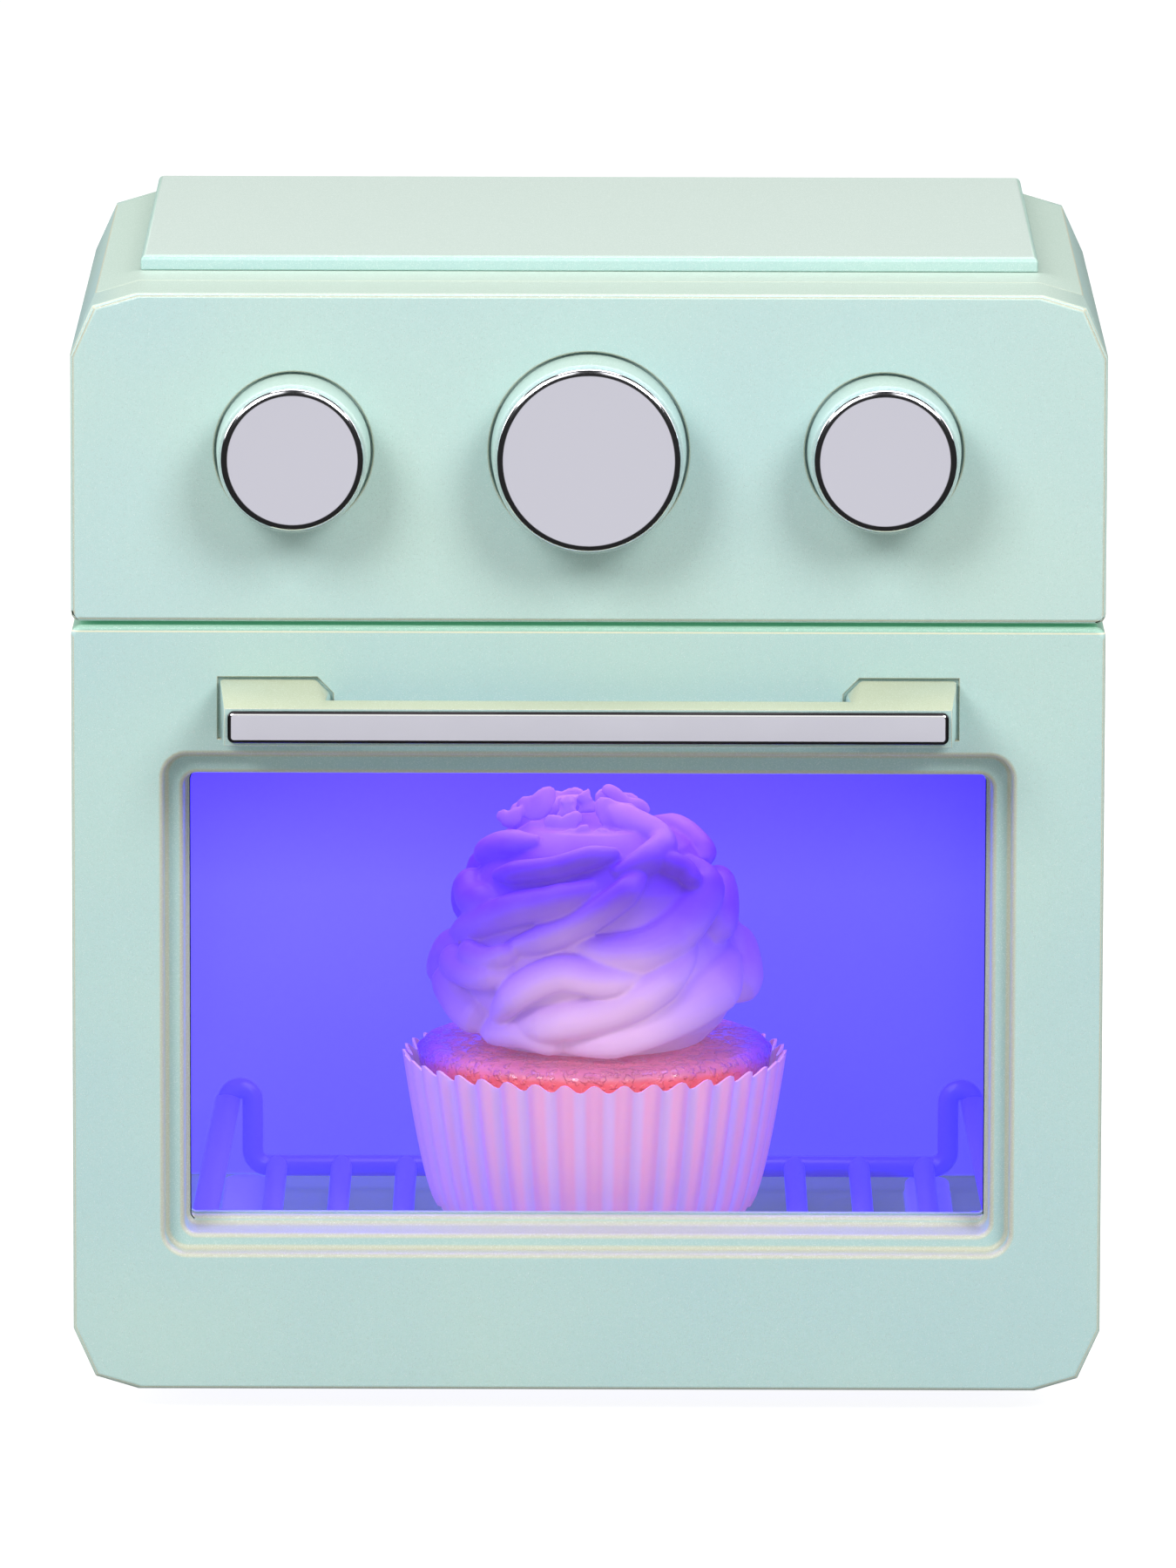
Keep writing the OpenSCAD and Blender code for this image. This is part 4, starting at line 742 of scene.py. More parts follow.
class OVEN_OT_finishes(bpy.types.Operator):
    """Builds the shader groups and the materials"""
    bl_idname = "oven.finishes"
    bl_label = "Finishes"

    def execute(self, context):
        c = colours()
        flakes_group()
        drift_group()
        facing_group()
        pearl_plastic("mint_pearl", c.mint, c.mint_cool, c.case_sheen_shade, c.edge_highlight, c.mint_shade)
        pearl_plastic("plate_pearl", c.door_mint, c.door_mint_cool, c.cream, c.edge_highlight, c.mint_shade)
        pearl_plastic("knob_pearl", c.mint, c.mint_cool, c.knob_sheen_shade, c.edge_highlight, c.mint_shade)
        pearl_plastic("door_pearl", c.door_mint, c.door_mint_cool, c.door_sheen_shade, c.edge_highlight,
                      c.mint_shade, True)
        # The cavity's liner and the rack carry painted glow
        lit_plastic("cavity_violet", c.violet, c.violet_pale, c.cavity_floor, 0.75)
        lit_plastic("rack_violet", c.rack, c.rack, c.rack, 0.5, 0.25)
        lit_plastic("lens_frosted", (0.5, 0.45, 1.0), (0.6, 0.55, 1.0), (0.5, 0.45, 1.0), 1.0)
        bright_plating("bright_trim", c.bright, c.satin)
        # The strip carries the painted glint
        bright_plating("strip_trim", c.bright, [0.9 * value for value in c.satin], 0.9)
        clear_pane("window_clear")
        plain_finish("foot_rubber", (0.03, 0.035, 0.035), 0.8, 0.0, 0.6 * MM, 0.3)
        for name, finish in PLAIN_FINISHES.items():
            plain_finish(name, *finish)
        return {"FINISHED"}


class OVEN_OT_case(bpy.types.Operator):
    """Rounds and finishes the case's shells and its feet"""
    bl_idname = "oven.case"
    bl_label = "Case"

    def execute(self, context):
        width = sizes().shell_round
        side = high("body_shell").x - 3 * MM
        top = high("body_shell").z - 1 * MM
        back = high("body_shell").y
        seat_width, seat_depth = 1.2 * MM, 0.8 * MM
        seats = [
            (middle(node), half_width(node) - seat_width, half_width(node) + sizes().knob_gap)
            for node in ("knob_left", "knob_middle", "knob_right")]

        def on_tube(p):
            return abs(p.x) > side or p.z > top or p.z < BASE_Z + 1 * MM

        def on_panel(p):
            return p.y < FRONT_Y + 0.3 * MM or p.y > FRONT_Y + 10 * MM

        # Their rounded edges carry a painted cream highlight
        for node, share, pick, grooves in (
                ("body_shell", 0.5, on_tube, None),
                ("back_cover", 0.5, lambda p: p.y > back + 1 * MM, None),
                ("battery_cover", 0.4, lambda p: p.y > back + 1.2 * MM, None),
                ("control_panel", 0.6, on_panel, (seats, seat_depth))):
            softened(node + "_moulding", node, CASE, "mint_pearl",
                     [(pick, width * share, 2, 1.0)], grooves)
        # The top plate's edges carry painted shade in the deeper mint
        softened("top_plate_moulding", "top_plate", CASE, "plate_pearl",
                 [(None, width * 0.5, 2, -0.6)])
        dress_nodes("foot_rubber", "feet")
        return {"FINISHED"}


class OVEN_OT_door(bpy.types.Operator):
    """Rounds the door's bezel and handle, and finishes its shells, pane and strip"""
    bl_idname = "oven.door"
    bl_label = "Door"

    def execute(self, context):
        bezel_back = FRONT_Y + 7.2 * MM
        step_x = high("window_pane").x + 1.6 * MM
        step_low = low("window_pane").z - 1.8 * MM
        step_high = high("window_pane").z + 2.2 * MM
        top = high("door_outer").z - 1 * MM
        pane_back = high("window_pane").y + 0.5 * MM
        bar_front = low("door_handle").y + 0.5 * MM

        def on_bezel(p):
            return abs(p.x) < step_x and step_low < p.z < step_high and p.y < bezel_back

        def on_front(p):
            return p.y < FRONT_Y + 1 * MM and p.z < top and not on_bezel(p)

        # The bezel's and the front's rounded edges carry painted cream highlights
        softened("door_shell", "door_outer", DOOR, "door_pearl", [
            (on_bezel, sizes().bezel_round, 4, 0.8), (on_front, 0.12 * MM, 2, 1.0)])
        softened("door_lining", "door_inner", DOOR, "mint_pearl", [
            (lambda p: p.y > pane_back, sizes().shell_round * 0.5, 2, 0.0)])
        dress_nodes("window_clear", "window_pane")
        # The handle's fine edges carry a painted cream highlight
        softened("handle_grip", "door_handle", DOOR, "door_pearl", [
            (lambda p: p.y > bar_front, sizes().handle_round, 3, 0.0), (None, 0.1 * MM, 2, 1.0)])
        lo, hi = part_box("handle_strip")
        lo += Vector((0.1 * MM, 0, 0.12 * MM))
        hi -= Vector((0.1 * MM, 0, 0))
        plate = rounded_plate("handle_band", lo, hi, 0.7 * MM, 0.42 * MM)
        piece_from("handle_band", plate, DOOR, "handle_strip", "strip_trim")
        return {"FINISHED"}


def knob_profile(node):
    """Outline of a knob's grip: rounded front edge, tapered side, hollow back, shaft and spindle."""
    face_y = low(node).y
    end_y = high(node).y
    back_y = FRONT_Y + 0.35 * MM
    r = half_width(node)
    taper, round_r, slant = 0.25 * MM, 0.25 * MM, 0.2 * MM
    hollow_r, hollow_y = r - 1.4 * MM, face_y + 1.6 * MM
    shaft_r, shaft_y = 3 * MM, FRONT_Y + 8.5 * MM
    spindle_r = 1.5 * MM
    edge_r = r - taper - round_r
    edge = [(edge_r + x, face_y + round_r + y) for x, y in arc(0, 0, round_r, -90, 0, 5)]
    return [(0, face_y), *edge, (r, back_y - slant), (r - slant, back_y), (hollow_r, back_y),
            (hollow_r - slant, hollow_y), (shaft_r, hollow_y), (shaft_r, shaft_y),
            (spindle_r, shaft_y), (spindle_r, end_y), (0, end_y)]


def cap_profile(node, grip):
    """Outline of a bright cap: flat face, oval edge, flat back on the grip."""
    face_y = low(node).y
    seat_y = low(grip).y
    r = half_width(node)
    wide, deep = sizes().cap_round, sizes().cap_round * 0.6
    edge = [(r - wide + wide * x, face_y + deep + deep * y) for x, y in arc(0, 0, 1, -90, 0, 12)]
    return [(0, face_y), *edge, (r, seat_y), (0, seat_y)]


class OVEN_OT_knobs(bpy.types.Operator):
    """Turns the knobs and their bright caps on a lathe"""
    bl_idname = "oven.knobs"
    bl_label = "Knobs"

    def execute(self, context):
        for side in ("left", "middle", "right"):
            grip, cap, body = f"knob_{side}", f"knob_{side}_cap", f"{side}_knob"
            for node, end, profile, slot, finish in (
                    (grip, "_grip", knob_profile(grip), "mint_plastic", "knob_pearl"),
                    (cap, "_plated", cap_profile(cap, grip), "bright_trim", "bright_trim")):
                mesh = lathe(node + end, profile, middle(grip))
                piece_from(node + end, mesh, body, node, finish)
            dress_nodes("washer_brass", f"knob_{side}_washer")
            dress_nodes("dark_steel", f"knob_{side}_clip")
        return {"FINISHED"}


def area_light(name, place, width, height, energy, colour=(1.0, 1.0, 1.0)):
    """A rectangular light that shines down until it is turned. Returns its object."""
    light = bpy.data.lights.new(name, "AREA")
    light.shape = "RECTANGLE"
    light.size = width
    light.size_y = height
    light.energy = energy
    light.color = colour
    holder = bpy.data.objects.new(name, light)
    holder.location = place
    bpy.context.scene.collection.objects.link(holder)
    return holder


class OVEN_OT_cavity(bpy.types.Operator):
    """Finishes the lit cavity and its lamp"""
    bl_idname = "oven.cavity"
    bl_label = "Cavity"

    def execute(self, context):
        def inside(p):
            return abs(p.x) < 48 * MM and BASE_Z + 9 * MM < p.z < BASE_Z + 74 * MM

        softened("cavity_lining", "cavity_liner", CASE, "cavity_violet",
                 [(inside, 0.5 * MM, 3, 0.0)])
        dress_nodes("lens_frosted", "light_lens")
        dress_nodes("emitter_clear", "light_emitters")
        dress_nodes("board_green", "light_board")
        place = (0, middle("light_lens").y + 6 * MM, low("light_lens").z - 1 * MM)
        area_light("cavity_lamp", place, 60 * MM, 40 * MM, 0.035, (0.55, 0.42, 1.0))
        return {"FINISHED"}


def rack_end(bm, y, rail_z, splay):
    """One end wire of the rack: a cross rod with an upright and a loop at each end.

    Returns the rails' ends.
    """
    rod = sizes().rod
    cx = middle("rack").x
    loop, bend = 1.4 * MM, 1.8 * MM
    upright = half_width("rack") - rod - 2 * loop
    rod_z = low("rack").z + rod
    right = [(upright + loop + splay + x * (1 + splay / loop), rail_z + z)
             for x, z in arc(0, 0, loop, 0, 180, 12)]
    right += [(upright - bend + x, rod_z + bend + z) for x, z in arc(0, 0, bend, 0, -90, 8)]
    left = [(-x, z) for x, z in reversed(right)]
    tube(bm, [(cx + x, y, z) for x, z in right + left], rod, 20)
    return [Vector((cx + side * right[0][0], y, rail_z)) for side in (-1, 1)]


class OVEN_OT_rack(bpy.types.Operator):
    """Builds the rack from smooth rods"""
    bl_idname = "oven.rack"
    bl_label = "Rack"

    def execute(self, context):
        lo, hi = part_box("rack")
        rod = sizes().rod
        front, back = lo.y + rod, hi.y - rod
        rod_z = lo.z + rod
        cx = middle("rack").x
        count, pitch = 11, 7.32 * MM
        bm = bmesh.new()
        front_ends = rack_end(bm, front, rod_z + 1.85 * MM, 0.9 * MM)
        back_ends = rack_end(bm, back, hi.z - rod - 0.9 * MM, 0.0)
        for k in range(count):
            x = cx + (k - (count - 1) / 2) * pitch
            tube(bm, [(x, front, rod_z), (x, back, rod_z)], rod, 24, UP)
        for near, far in zip(front_ends, back_ends):
            ribbon(bm, [near, far], [Vector(UP)] * 2, [rod * 1.2] * 2, [rod * 0.85] * 2, sides=24)
        mesh = mesh_from("rack_rods", bm, 50, outward=False)
        piece_from("rack_rods", mesh, TRAY, "rack", "rack_violet")
        return {"FINISHED"}


def wave_paper():
    """The pleated paper: walls with round pleats, a wavy rim and a flat base."""
    centre = middle("cupcake_paper")
    base_z = low("cupcake_paper").z
    height = high("cupcake_paper").z - base_z
    rim_r = half_width("cupcake_paper")
    base_r = rim_r * 17.5 / 21.2
    pleats, steps, levels = sizes().pleats, 8, 14
    thick = 0.3 * MM
    bm = bmesh.new()

    def ring(t, inset):
        verts = []
        for turn in round_angles(pleats * steps):
            wave = math.cos(pleats * turn)
            shaped = math.copysign(abs(wave) ** 0.75, wave)
            depth = (0.55 + 0.25 * t) * MM
            r = base_r + (rim_r - base_r) * t ** 0.68 - depth * (1 - shaped) / 2 - inset
            rise = 0.5 * MM * (shaped - 1) * t ** 8
            verts.append(bm.verts.new((centre.x + r * math.cos(turn), centre.y + r * math.sin(turn),
                                       base_z + height * t + rise)))
        return verts

    outer = [ring(k / levels, 0) for k in range(levels + 1)]
    inner = [ring(max(k / levels, 0.03), thick) for k in range(levels, -1, -1)]
    skin(bm, outer + inner, capped=True)
    return mesh_from("paper_pleats", bm, 60)


def domed_cake():
    """The cake: a turned dome whose edge is crinkled where it meets the paper."""
    centre = middle("cupcake_cake")
    base, top = low("cupcake_cake").z, high("cupcake_cake").z
    r_top = half_width("cupcake_cake")
    side_z = top - 1.5 * MM
    edge_r, edge_h = 1.6 * MM, 1.45 * MM
    profile = [(0, base), (r_top * 0.845, base), (r_top - 0.1 * MM, side_z - 0.6 * MM)]
    profile += [(r_top - edge_r + edge_r * x, side_z - 0.2 * MM + edge_h * z)
                for x, z in arc(0, 0, 1, 0, 90, 6)]
    profile += [(r_top - 4 * MM, top - 0.05 * MM), (0, top)]
    bm = bmesh.new()
    rings = []
    for r, z in profile:
        ring = []
        for turn in round_angles(120) if r else (0.0,):
            uneven = 1 + (0.006 * math.sin(23 * turn) + 0.004 * math.sin(41 * turn)) * (z > side_z)
            ring.append(bm.verts.new((centre.x + r * uneven * math.cos(turn),
                                      centre.y + r * uneven * math.sin(turn), z)))
        rings.append(ring)
    skin(bm, rings)
    return mesh_from("cake_dome", bm, 60)


# Outline of the frosting: height above the cake and radius, in mm
FROSTING_OUTLINE = (
    (0, 14.5), (2.5, 17), (5, 18), (7.6, 18.9), (11.2, 18), (13.7, 16.6), (18.5, 15.6), (20.3, 14.3),
    (22.7, 12.2), (24, 9.6), (25, 6.5), (28, 2.0))

# Piped folds of one half: half width and half depth in mm, then turns from the front in degrees and
# heights in mm
FOLDS = (
    (2.9, 1.9, ((-16, 1.9), (10, 3.3), (30, 5.0), (50, 7.1), (78, 10.4))),
    (2.4, 2.0, ((-40, 3.4), (-18, 4.4), (6, 6.1), (24, 8.6), (46, 12.2))),
    (2.2, 1.6, ((-48, 3.4), (-30, 7.7), (-14, 10.1), (4, 9.6), (24, 10.4))),
    (2.4, 1.8, ((-78, 9.0), (-66, 5.4), (-50, 3.2))),
    (1.9, 1.6, ((-82, 10.2), (-56, 9.0), (-34, 9.6))),
    (2.6, 2.0, ((-10, 13.2), (8, 12.0), (26, 12.6), (46, 15.1), (64, 18.2), (66, 20.8))),
    (2.0, 1.7, ((-92, 11.0), (-62, 14.1), (-38, 16.4), (-18, 17.6), (0, 19.3))),
    (1.7, 1.6, ((-40, 12.0), (-20, 13.8), (-4, 15.7), (12, 18.3), (26, 20.4))),
    (1.5, 1.4, ((-66, 11.4), (-46, 10.7), (-34, 12.2))),
    (2.0, 1.6, ((-92, 18.3), (-74, 16.5), (-52, 16.6))),
    (1.3, 1.2, ((-60, 19.4), (-40, 20.4), (-22, 21.1), (-4, 22.2), (14, 22.6))),
    (1.6, 1.3, ((-98, 20.0), (-74, 22.2), (-44, 23.2))),
    (1.7, 1.5, ((10, 20.4), (34, 22.0), (52, 23.3), (50, 24.9), (38, 26.4))),
    (1.4, 1.2, ((34, 22.0), (50, 20.5), (52, 18.4))),
    (1.8, 1.5, ((-56, 2.4), (-30, 2.9), (-12, 1.6))),
    (2.4, 1.8, ((70, 5.5), (86, 8.5), (104, 12.0))),
    (2.2, 1.7, ((60, 12.5), (80, 15.5), (96, 18.5))),
)

# Ruffles on top, in mm: start and end as x and height, place in depth, half height, half thickness
# and bulge
RUFFLES = (
    (-8.6, 25.3, -4.4, 27.2, 0.4, 1.5, 0.42, 1.5),
    (-10.8, 24.6, -8.0, 25.2, -0.6, 1.0, 0.45, 0.8),
    (-4.0, 26.0, -2.2, 26.2, -1.2, 1.5, 0.35, 1.0),
    (-1.5, 25.7, -0.7, 26.9, 0.2, 1.4, 0.3, 0.2),
    (0.0, 26.0, 4.6, 24.9, -1.4, 1.7, 0.42, 1.3),
    (0.8, 27.6, 6.0, 25.0, 1.8, 1.0, 0.5, 1.0),
    (-3.4, 23.2, -0.6, 24.0, -5.2, 1.1, 0.36, 0.9),
    (0.0, 23.6, 4.0, 23.0, -5.2, 1.1, 0.36, 1.0),
    (-5.6, 24.4, -1.4, 25.0, -2.8, 1.1, 0.36, 1.0),
    (-6.0, 25.2, -1.0, 26.0, 4.0, 1.5, 0.45, -1.4),
    (0.0, 25.8, 5.0, 24.8, 5.2, 1.5, 0.45, -1.4),
    (-9.4, 24.2, -5.0, 24.8, 4.6, 1.3, 0.45, -1.2),
)


def outline_radius(h):
    """Radius of the frosting's outline at a height above the cake, in mm."""
    for (low_h, low_r), (high_h, high_r) in zip(FROSTING_OUTLINE, FROSTING_OUTLINE[1:]):
        if h <= high_h:
            return low_r + (high_r - low_r) * (max(h, 0) - low_h) / (high_h - low_h)
    return FROSTING_OUTLINE[-1][1]


def piped_frosting():
    """Frosting piped in folds that overlap and rise round a core, with ruffles on top."""
    centre = middle("cupcake_frosting")
    centre.z = low("cupcake_frosting").z
    core_inset = 2.3
    bm = bmesh.new()
    rings = []
    for h in range(0, 25, 2):
        r = (outline_radius(h) - core_inset) * MM
        rings.append([
            bm.verts.new(centre + Vector((r * math.cos(a), r * math.sin(a), h * MM)))
            for a in round_angles(48)])
    skin(bm, rings, capped=True)
    for half in (0, 180):
        for width, depth, turns in FOLDS:
            line = through(turns, 8)
            points, outs, widths, depths = [], [], [], []
            for i, (degrees, h) in enumerate(line):
                swell = math.sin(math.pi * (0.04 + 0.92 * i / (len(line) - 1)))
                fade = min(1.0, 0.3 + 0.7 * swell * 1.5)
                turn = math.radians(degrees + half)
                r = outline_radius(h) - depth - 0.2 - 1.4 * (1 - fade)
                place = Vector((r * math.sin(turn), -r * math.cos(turn), max(h, width * fade * 0.8)))
                points.append(centre + MM * place)
                outs.append(Vector((math.sin(turn), -math.cos(turn), 0.25)))
                widths.append(width * fade * MM)
                depths.append(depth * fade * MM)
            ribbon(bm, points, outs, widths, depths, math.radians(24))
    for x0, z0, x1, z1, y, tall, thin, bulge in RUFFLES:
        steps = 10
        points, outs, talls, thins = [], [], [], []
        for k in range(steps + 1):
            t = k / steps
            arch = math.sin(math.pi * t)
            ripple = 0.3 * math.sin(3 * math.pi * t)
            place = Vector((x0 + (x1 - x0) * t, y - bulge * arch, z0 + (z1 - z0) * t + ripple))
            points.append(centre + MM * place)
            outs.append(Vector(((t - 0.5) * 1.6, -1.0 if bulge > 0 else 1.0, 0.2)))
            fade = 0.45 + 0.55 * arch ** 0.5
            talls.append(tall * fade * MM)
            thins.append(thin * fade * MM)
        ribbon(bm, points, outs, talls, thins, 0.0, 16)
    return mesh_from("frosting_swirl", bm)


def frosting_material(name, cream, lit, low_lit):
    """Smooth creamy frosting with its light painted in: violet where the lamp above reaches, paler
    where the window lights it, and a painted glow.
    """
    g, shader = new_material(name)
    drift = use_group(g, "moulding_drift", Patch=9 * MM, Wave=2 * MM)
    x, _, z = g.axes()
    lo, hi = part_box("cupcake_frosting")
    # Painted light: the window's light, as cream, where faces turn ahead and not up, mostly low down,
    # less at the far left and right, and on the crown; the violet lamp's light elsewhere
    below = g.times(facing(g, DOWN, -0.9, -0.1), facing(g, AHEAD, -0.1, 0.6))
    height = g.ramp(z, lo.z + 9 * MM, lo.z + 19 * MM, 1.0, 0.12)
    soft = g.ramp(z, lo.z + 4 * MM, hi.z - 10 * MM, 0.75, 0.15)
    crown = g.ramp(z, hi.z - 6 * MM, hi.z - 3 * MM, 0.0, 0.22)
    left = g.ramp(x, lo.x, lo.x + 16 * MM, 0.0, 1.0)
    right = g.ramp(x, hi.x - 14 * MM, hi.x - 2 * MM, 1.0, 0.3)
    turned = g.add("ShaderNodeMath", {0: below, 1: g.math("SUBTRACT", 1.0, soft), 2: soft},
                   operation="MULTIPLY_ADD").outputs[0]
    share = g.times(g.times(turned, height), g.times(left, right))
    mottle = g.ramp(drift["Drift"], 0.0, 1.0, -0.04, 0.06)
    mottled = g.math("ADD", g.math("ADD", share, crown), mottle, True)
    shade = g.mix(g.ramp(z, lo.z + 3 * MM, lo.z + 13 * MM), rgba(low_lit), rgba(lit))
    toned = g.mix(mottled, shade, rgba(cream))
    g.feed(shader, {
        "Base Color": toned,
        # Painted glow: the frosting gives out light in its own colours, though it is no lamp
        "Emission Color": toned,
        "Emission Strength": 0.42,
        "Roughness": g.ramp(drift["Grain"], 0.0, 1.0, 0.4, 0.55),
        "Normal": g.bump(0.12, 0.15 * MM, drift["Waves"]),
        "Specular IOR Level": 0.2,
        "Subsurface Weight": 0.15,
        "Subsurface Radius": (1.0, 0.6, 1.0),
        "Subsurface Scale": 1.2 * MM,
    })


def cake_material(name, base, edge, lit):
    """Baked cake: fine crumb and glossy beads, warm beside the paper, with the violet lamp's light
    painted at its sides and a painted glow.
    """
    g, shader = new_material(name)
    crumb = g.noise(900.0, 4.0)
    beads = g.noise(1100.0)
    drift = use_group(g, "moulding_drift", Patch=6 * MM, Wave=1 * MM)
    x, _, z = g.axes()
    top = high("cupcake_cake").z
    r_top = half_width("cupcake_cake")
    warm = g.ramp(z, top - 1.7 * MM, top - 0.9 * MM, 0.9, 0.0)
    aside = g.ramp(g.gap(x, middle("cupcake_cake").x), r_top * 0.74, r_top * 0.97)
    toned = g.mix(drift["Drift"], rgba(base), rgba(base, 1.25))
    warmed = g.mix(warm, toned, rgba(edge))
    # Painted light: the violet lamp's colour at the cake's sides
    coloured = g.mix(g.times(aside, 0.85), warmed, rgba(lit))
    crumbed = g.bump(0.5, 0.3 * MM, crumb)
    g.feed(shader, {
        "Base Color": coloured,
        # Painted glow: the cake gives out light in its own colours
        "Emission Color": coloured,
        "Emission Strength": 0.25,
        "Roughness": g.ramp(crumb, 0.3, 0.7, 0.25, 0.6),
        "Coat Weight": g.ramp(beads, 0.52, 0.58),
        "Normal": g.bump(0.8, 0.25 * MM, g.ramp(beads, 0.5, 0.62), Normal=crumbed),
    })


def paper_material(name, ridge, valley):
    """Pleated paper: pink ridges and paler valleys, lilac at its left, with fine fibres."""
    g, shader = new_material(name)
    fibre = g.noise(700.0, 3.0)
    x, y, _ = g.axes()
    centre = middle("cupcake_paper")
    turn = g.math("ARCTAN2", g.math("SUBTRACT", y, centre.y), g.math("SUBTRACT", x, centre.x))
    wave = g.math("COSINE", g.times(turn, float(sizes().pleats)))
    toned = g.mix(g.ramp(wave, -0.75, 0.1), rgba(valley), rgba(ridge))
    aside = g.ramp(x, centre.x - 18 * MM, centre.x - 4 * MM, 0.6, 0.0)
    cooled = g.mix(aside, toned, rgba(valley, 0.9))
    fibred = g.mix(g.ramp(fibre, 0.3, 0.7, 0.0, 0.12), cooled, rgba(valley, 0.9))
    g.feed(shader, {
        "Base Color": fibred,
        # Painted glow: the paper gives out a little light in its own colours
        "Emission Color": fibred,
        "Emission Strength": 0.2,
        "Roughness": 0.6,
        "Normal": g.bump(0.15, 0.05 * MM, fibre),
        "Subsurface Weight": 0.2,
        "Subsurface Scale": 0.8 * MM,
    })


class OVEN_OT_cupcake(bpy.types.Operator):
    """Builds the cupcake: pleated paper, cake and piped frosting"""
    bl_idname = "oven.cupcake"
    bl_label = "Cupcake"

    def execute(self, context):
        c = colours()
        paper_material("paper_pink", c.paper, c.paper_pale)
        cake_material("cake_crumb", c.cake, c.cake_edge, c.frosting_lit)
        frosting_material("frosting_cream", c.frosting, c.frosting_lit, c.frosting_low)
        piece_from("paper_pleats", wave_paper(), TRAY, "cupcake_paper", "paper_pink")
        piece_from("cake_dome", domed_cake(), TRAY, "cupcake_cake", "cake_crumb")
        piece = piece_from("frosting_swirl", piped_frosting(), TRAY, "cupcake_frosting",
                           "frosting_cream")
        remesh = piece.modifiers.new("fuse", "REMESH")
        remesh.mode = "VOXEL"
        remesh.voxel_size = 0.22 * MM
        remesh.use_smooth_shade = True
        relax = piece.modifiers.new("relax", "SMOOTH")
        relax.factor = 0.5
        relax.iterations = 4
        return {"FINISHED"}


class OVEN_OT_fittings(bpy.types.Operator):
    """Finishes the inner works and the fasteners"""
    bl_idname = "oven.fittings"
    bl_label = "Fittings"

    def execute(self, context):
        for finish, nodes in FITTINGS.items():
            dress_nodes(finish, *nodes)
        return {"FINISHED"}


def studio_world():
    """White behind everything, a grey fill, and pale cards that the bright parts mirror."""
    world = bpy.data.worlds.new("studio")
    bpy.context.scene.world = world
    world.use_nodes = True
    tree = world.node_tree
    tree.nodes.clear()
    g = Graph(tree)
    ray = g.add("ShaderNodeLightPath").outputs
    way = g.add("ShaderNodeTexCoord").outputs["Generated"]
    x, y, z = g.axes(way)
    ahead = g.ramp(g.dot(way, (0.0, -0.985, -0.174)), 0.978, 0.988)
    above = g.times(g.ramp(z, 0.44, 0.5), g.ramp(z, 0.88, 0.8))
    aside = g.times(g.ramp(g.math("ABSOLUTE", x), 0.1, 0.14), g.ramp(y, -0.2, -0.3))
    cards = g.mix(g.times(above, aside), (0.02, 0.02, 0.02, 1.0), (1.3, 1.3, 1.3, 1.0))
    mirrored = g.mix(ahead, cards, (0.72, 0.71, 0.76, 1.0))
    fill = g.mix(ray["Is Glossy Ray"], (0.30, 0.31, 0.30, 1.0), mirrored)
    seen = g.mix(ray["Is Camera Ray"], fill, WHITE)
    background = g.add("ShaderNodeBackground", {0: seen, 1: 1.0})
    g.add("ShaderNodeOutputWorld", {0: background.outputs[0]})


def white_floor():
    """The floor under the toy: white to the camera, grey to the light, and not mirrored."""
    half = 4.0
    mesh = bpy.data.meshes.new("floor")
    mesh.from_pydata([(-half, -half, 0), (half, -half, 0), (half, half, 0), (-half, half, 0)], [],
                     [(0, 1, 2, 3)])
    floor = bpy.data.objects.new("floor", mesh)
    bpy.context.scene.collection.objects.link(floor)
    floor.visible_glossy = False
    g, shader = new_material("floor_white")
    seen = g.add("ShaderNodeLightPath").outputs["Is Camera Ray"]
    g.feed(shader, {
        "Base Color": g.mix(g.ramp(g.noise(3.0), 0.3, 0.7), rgba([0.20] * 3), rgba([0.22] * 3)),
        "Emission Color": WHITE,
        "Emission Strength": g.ramp(seen, 0.0, 1.0, 0.25, 0.92),
        "Roughness": 0.9,
    })
    dress(floor, "floor_white")


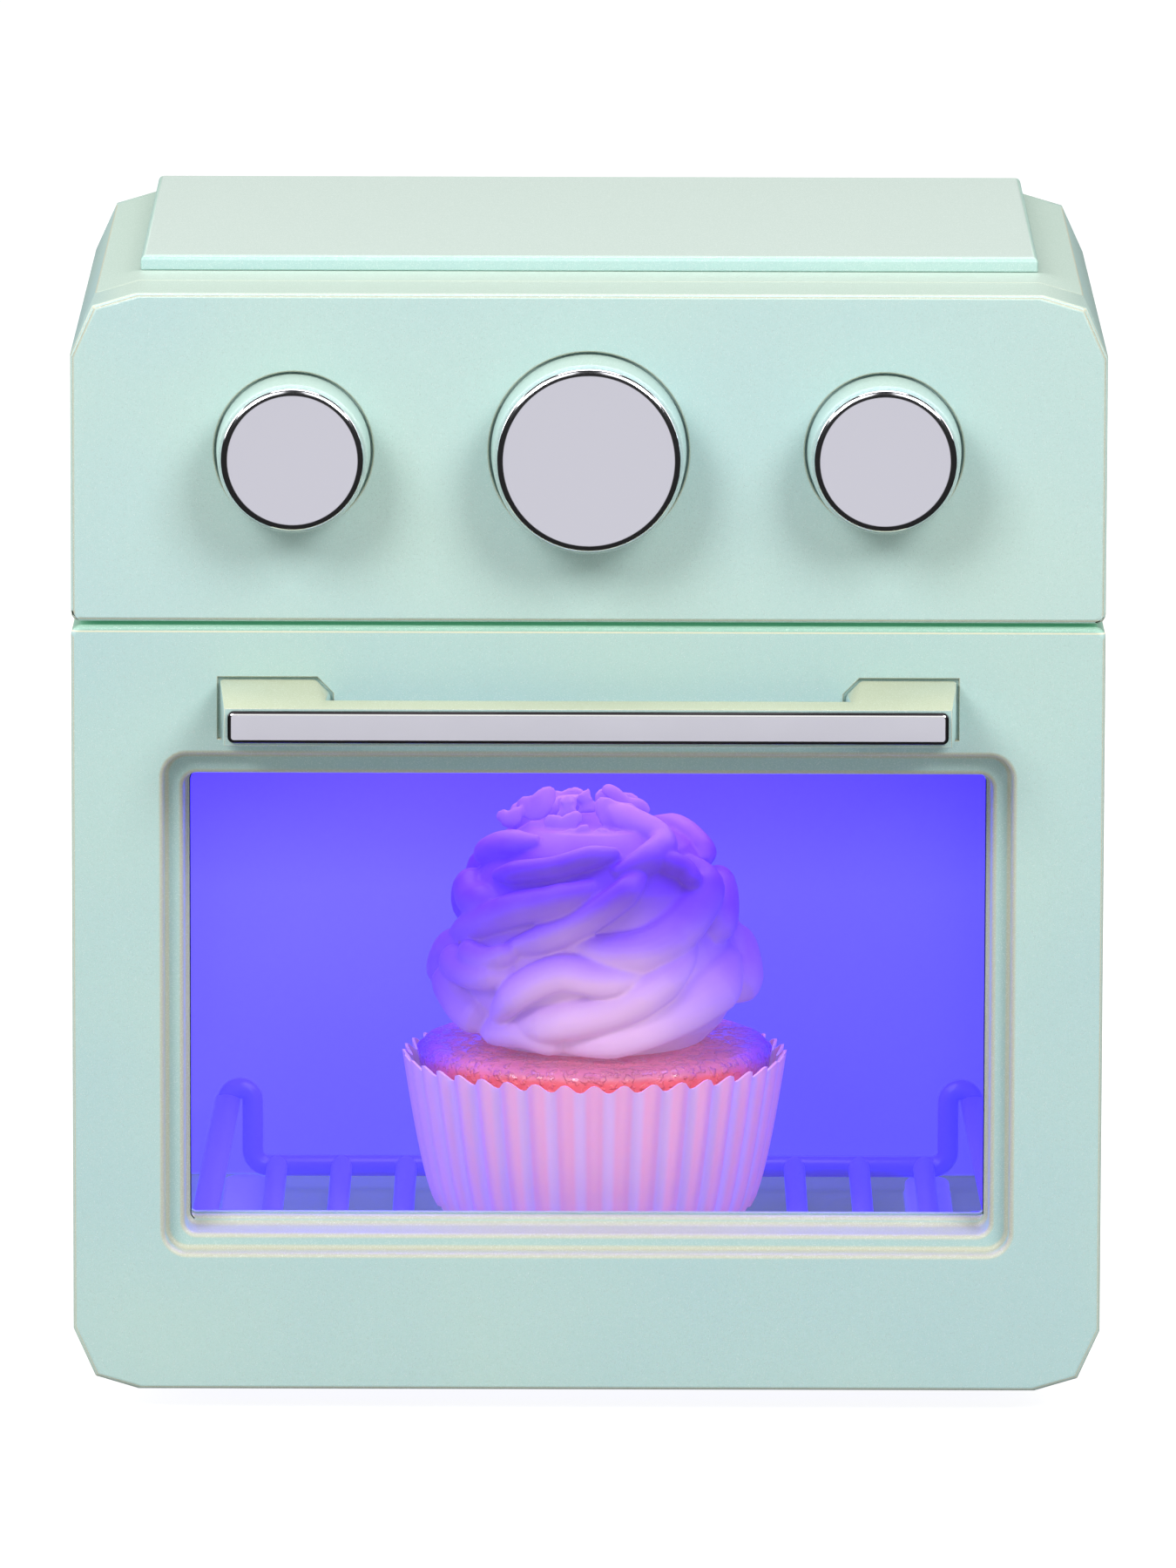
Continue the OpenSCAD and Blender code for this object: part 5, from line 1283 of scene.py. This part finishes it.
class OVEN_OT_stage(bpy.types.Operator):
    """Sets the floor, the lights and the camera"""
    bl_idname = "oven.stage"
    bl_label = "Stage"

    def execute(self, context):
        scene = context.scene
        scene.view_settings.view_transform = "Standard"
        studio_world()
        white_floor()
        aim = Vector((0, FRONT_Y, BASE_Z + 85 * MM))
        for name, (place, width, height, energy) in STUDIO_LIGHTS.items():
            holder = area_light(name, place, width, height, energy)
            holder.rotation_euler = (aim - Vector(place)).to_track_quat("-Z", "Y").to_euler()
        camera = bpy.data.cameras.new("photo_view")
        camera.sensor_width = SENSOR
        camera.lens = FOCAL_PX / PHOTO_H * SENSOR
        camera.clip_end = 50
        holder = bpy.data.objects.new("photo_view", camera)
        holder.location = (0, FRONT_Y - CAMERA_AHEAD, BASE_Z + CAMERA_UP)
        upright = Matrix.Rotation(math.pi / 2 - CAMERA_PITCH, 3, "X")
        holder.rotation_euler = (upright @ Matrix.Rotation(CAMERA_ROLL, 3, "Z")).to_euler()
        scene.collection.objects.link(holder)
        scene.camera = holder
        return {"FINISHED"}


class OVEN_PT_panel(bpy.types.Panel):
    """Lists the oven's operators, sizes and colours"""
    bl_idname = "OVEN_PT_panel"
    bl_label = "Toy Oven"
    bl_space_type = "VIEW_3D"
    bl_region_type = "UI"
    bl_category = "Toy Oven"

    def draw(self, context):
        for operator in OPERATORS:
            self.layout.operator(operator.bl_idname)
        for group in (context.scene.oven_sizes, context.scene.oven_colours):
            for name in group.bl_rna.properties.keys():
                if name not in ("rna_type", "name"):
                    self.layout.prop(group, name)


OPERATORS = (OVEN_OT_finishes, OVEN_OT_stage, OVEN_OT_case, OVEN_OT_door, OVEN_OT_knobs, OVEN_OT_cavity,
             OVEN_OT_rack, OVEN_OT_cupcake, OVEN_OT_fittings)
CLASSES = (OvenSizes, OvenColours, OVEN_PT_panel) + OPERATORS


def register():
    """Registers the classes and their properties."""
    for cls in CLASSES:
        bpy.utils.register_class(cls)
    bpy.types.Scene.oven_sizes = bpy.props.PointerProperty(type=OvenSizes)
    bpy.types.Scene.oven_colours = bpy.props.PointerProperty(type=OvenColours)


def unregister():
    """Takes the classes and their properties away again."""
    del bpy.types.Scene.oven_colours
    del bpy.types.Scene.oven_sizes
    for cls in reversed(CLASSES):
        bpy.utils.unregister_class(cls)


def main():
    """Builds everything."""
    register()
    bpy.ops.oven.finishes()
    bpy.ops.oven.stage()
    bpy.ops.oven.case()
    bpy.ops.oven.door()
    bpy.ops.oven.knobs()
    bpy.ops.oven.cavity()
    bpy.ops.oven.rack()
    bpy.ops.oven.cupcake()
    bpy.ops.oven.fittings()


if __name__ == "__main__":
    main()
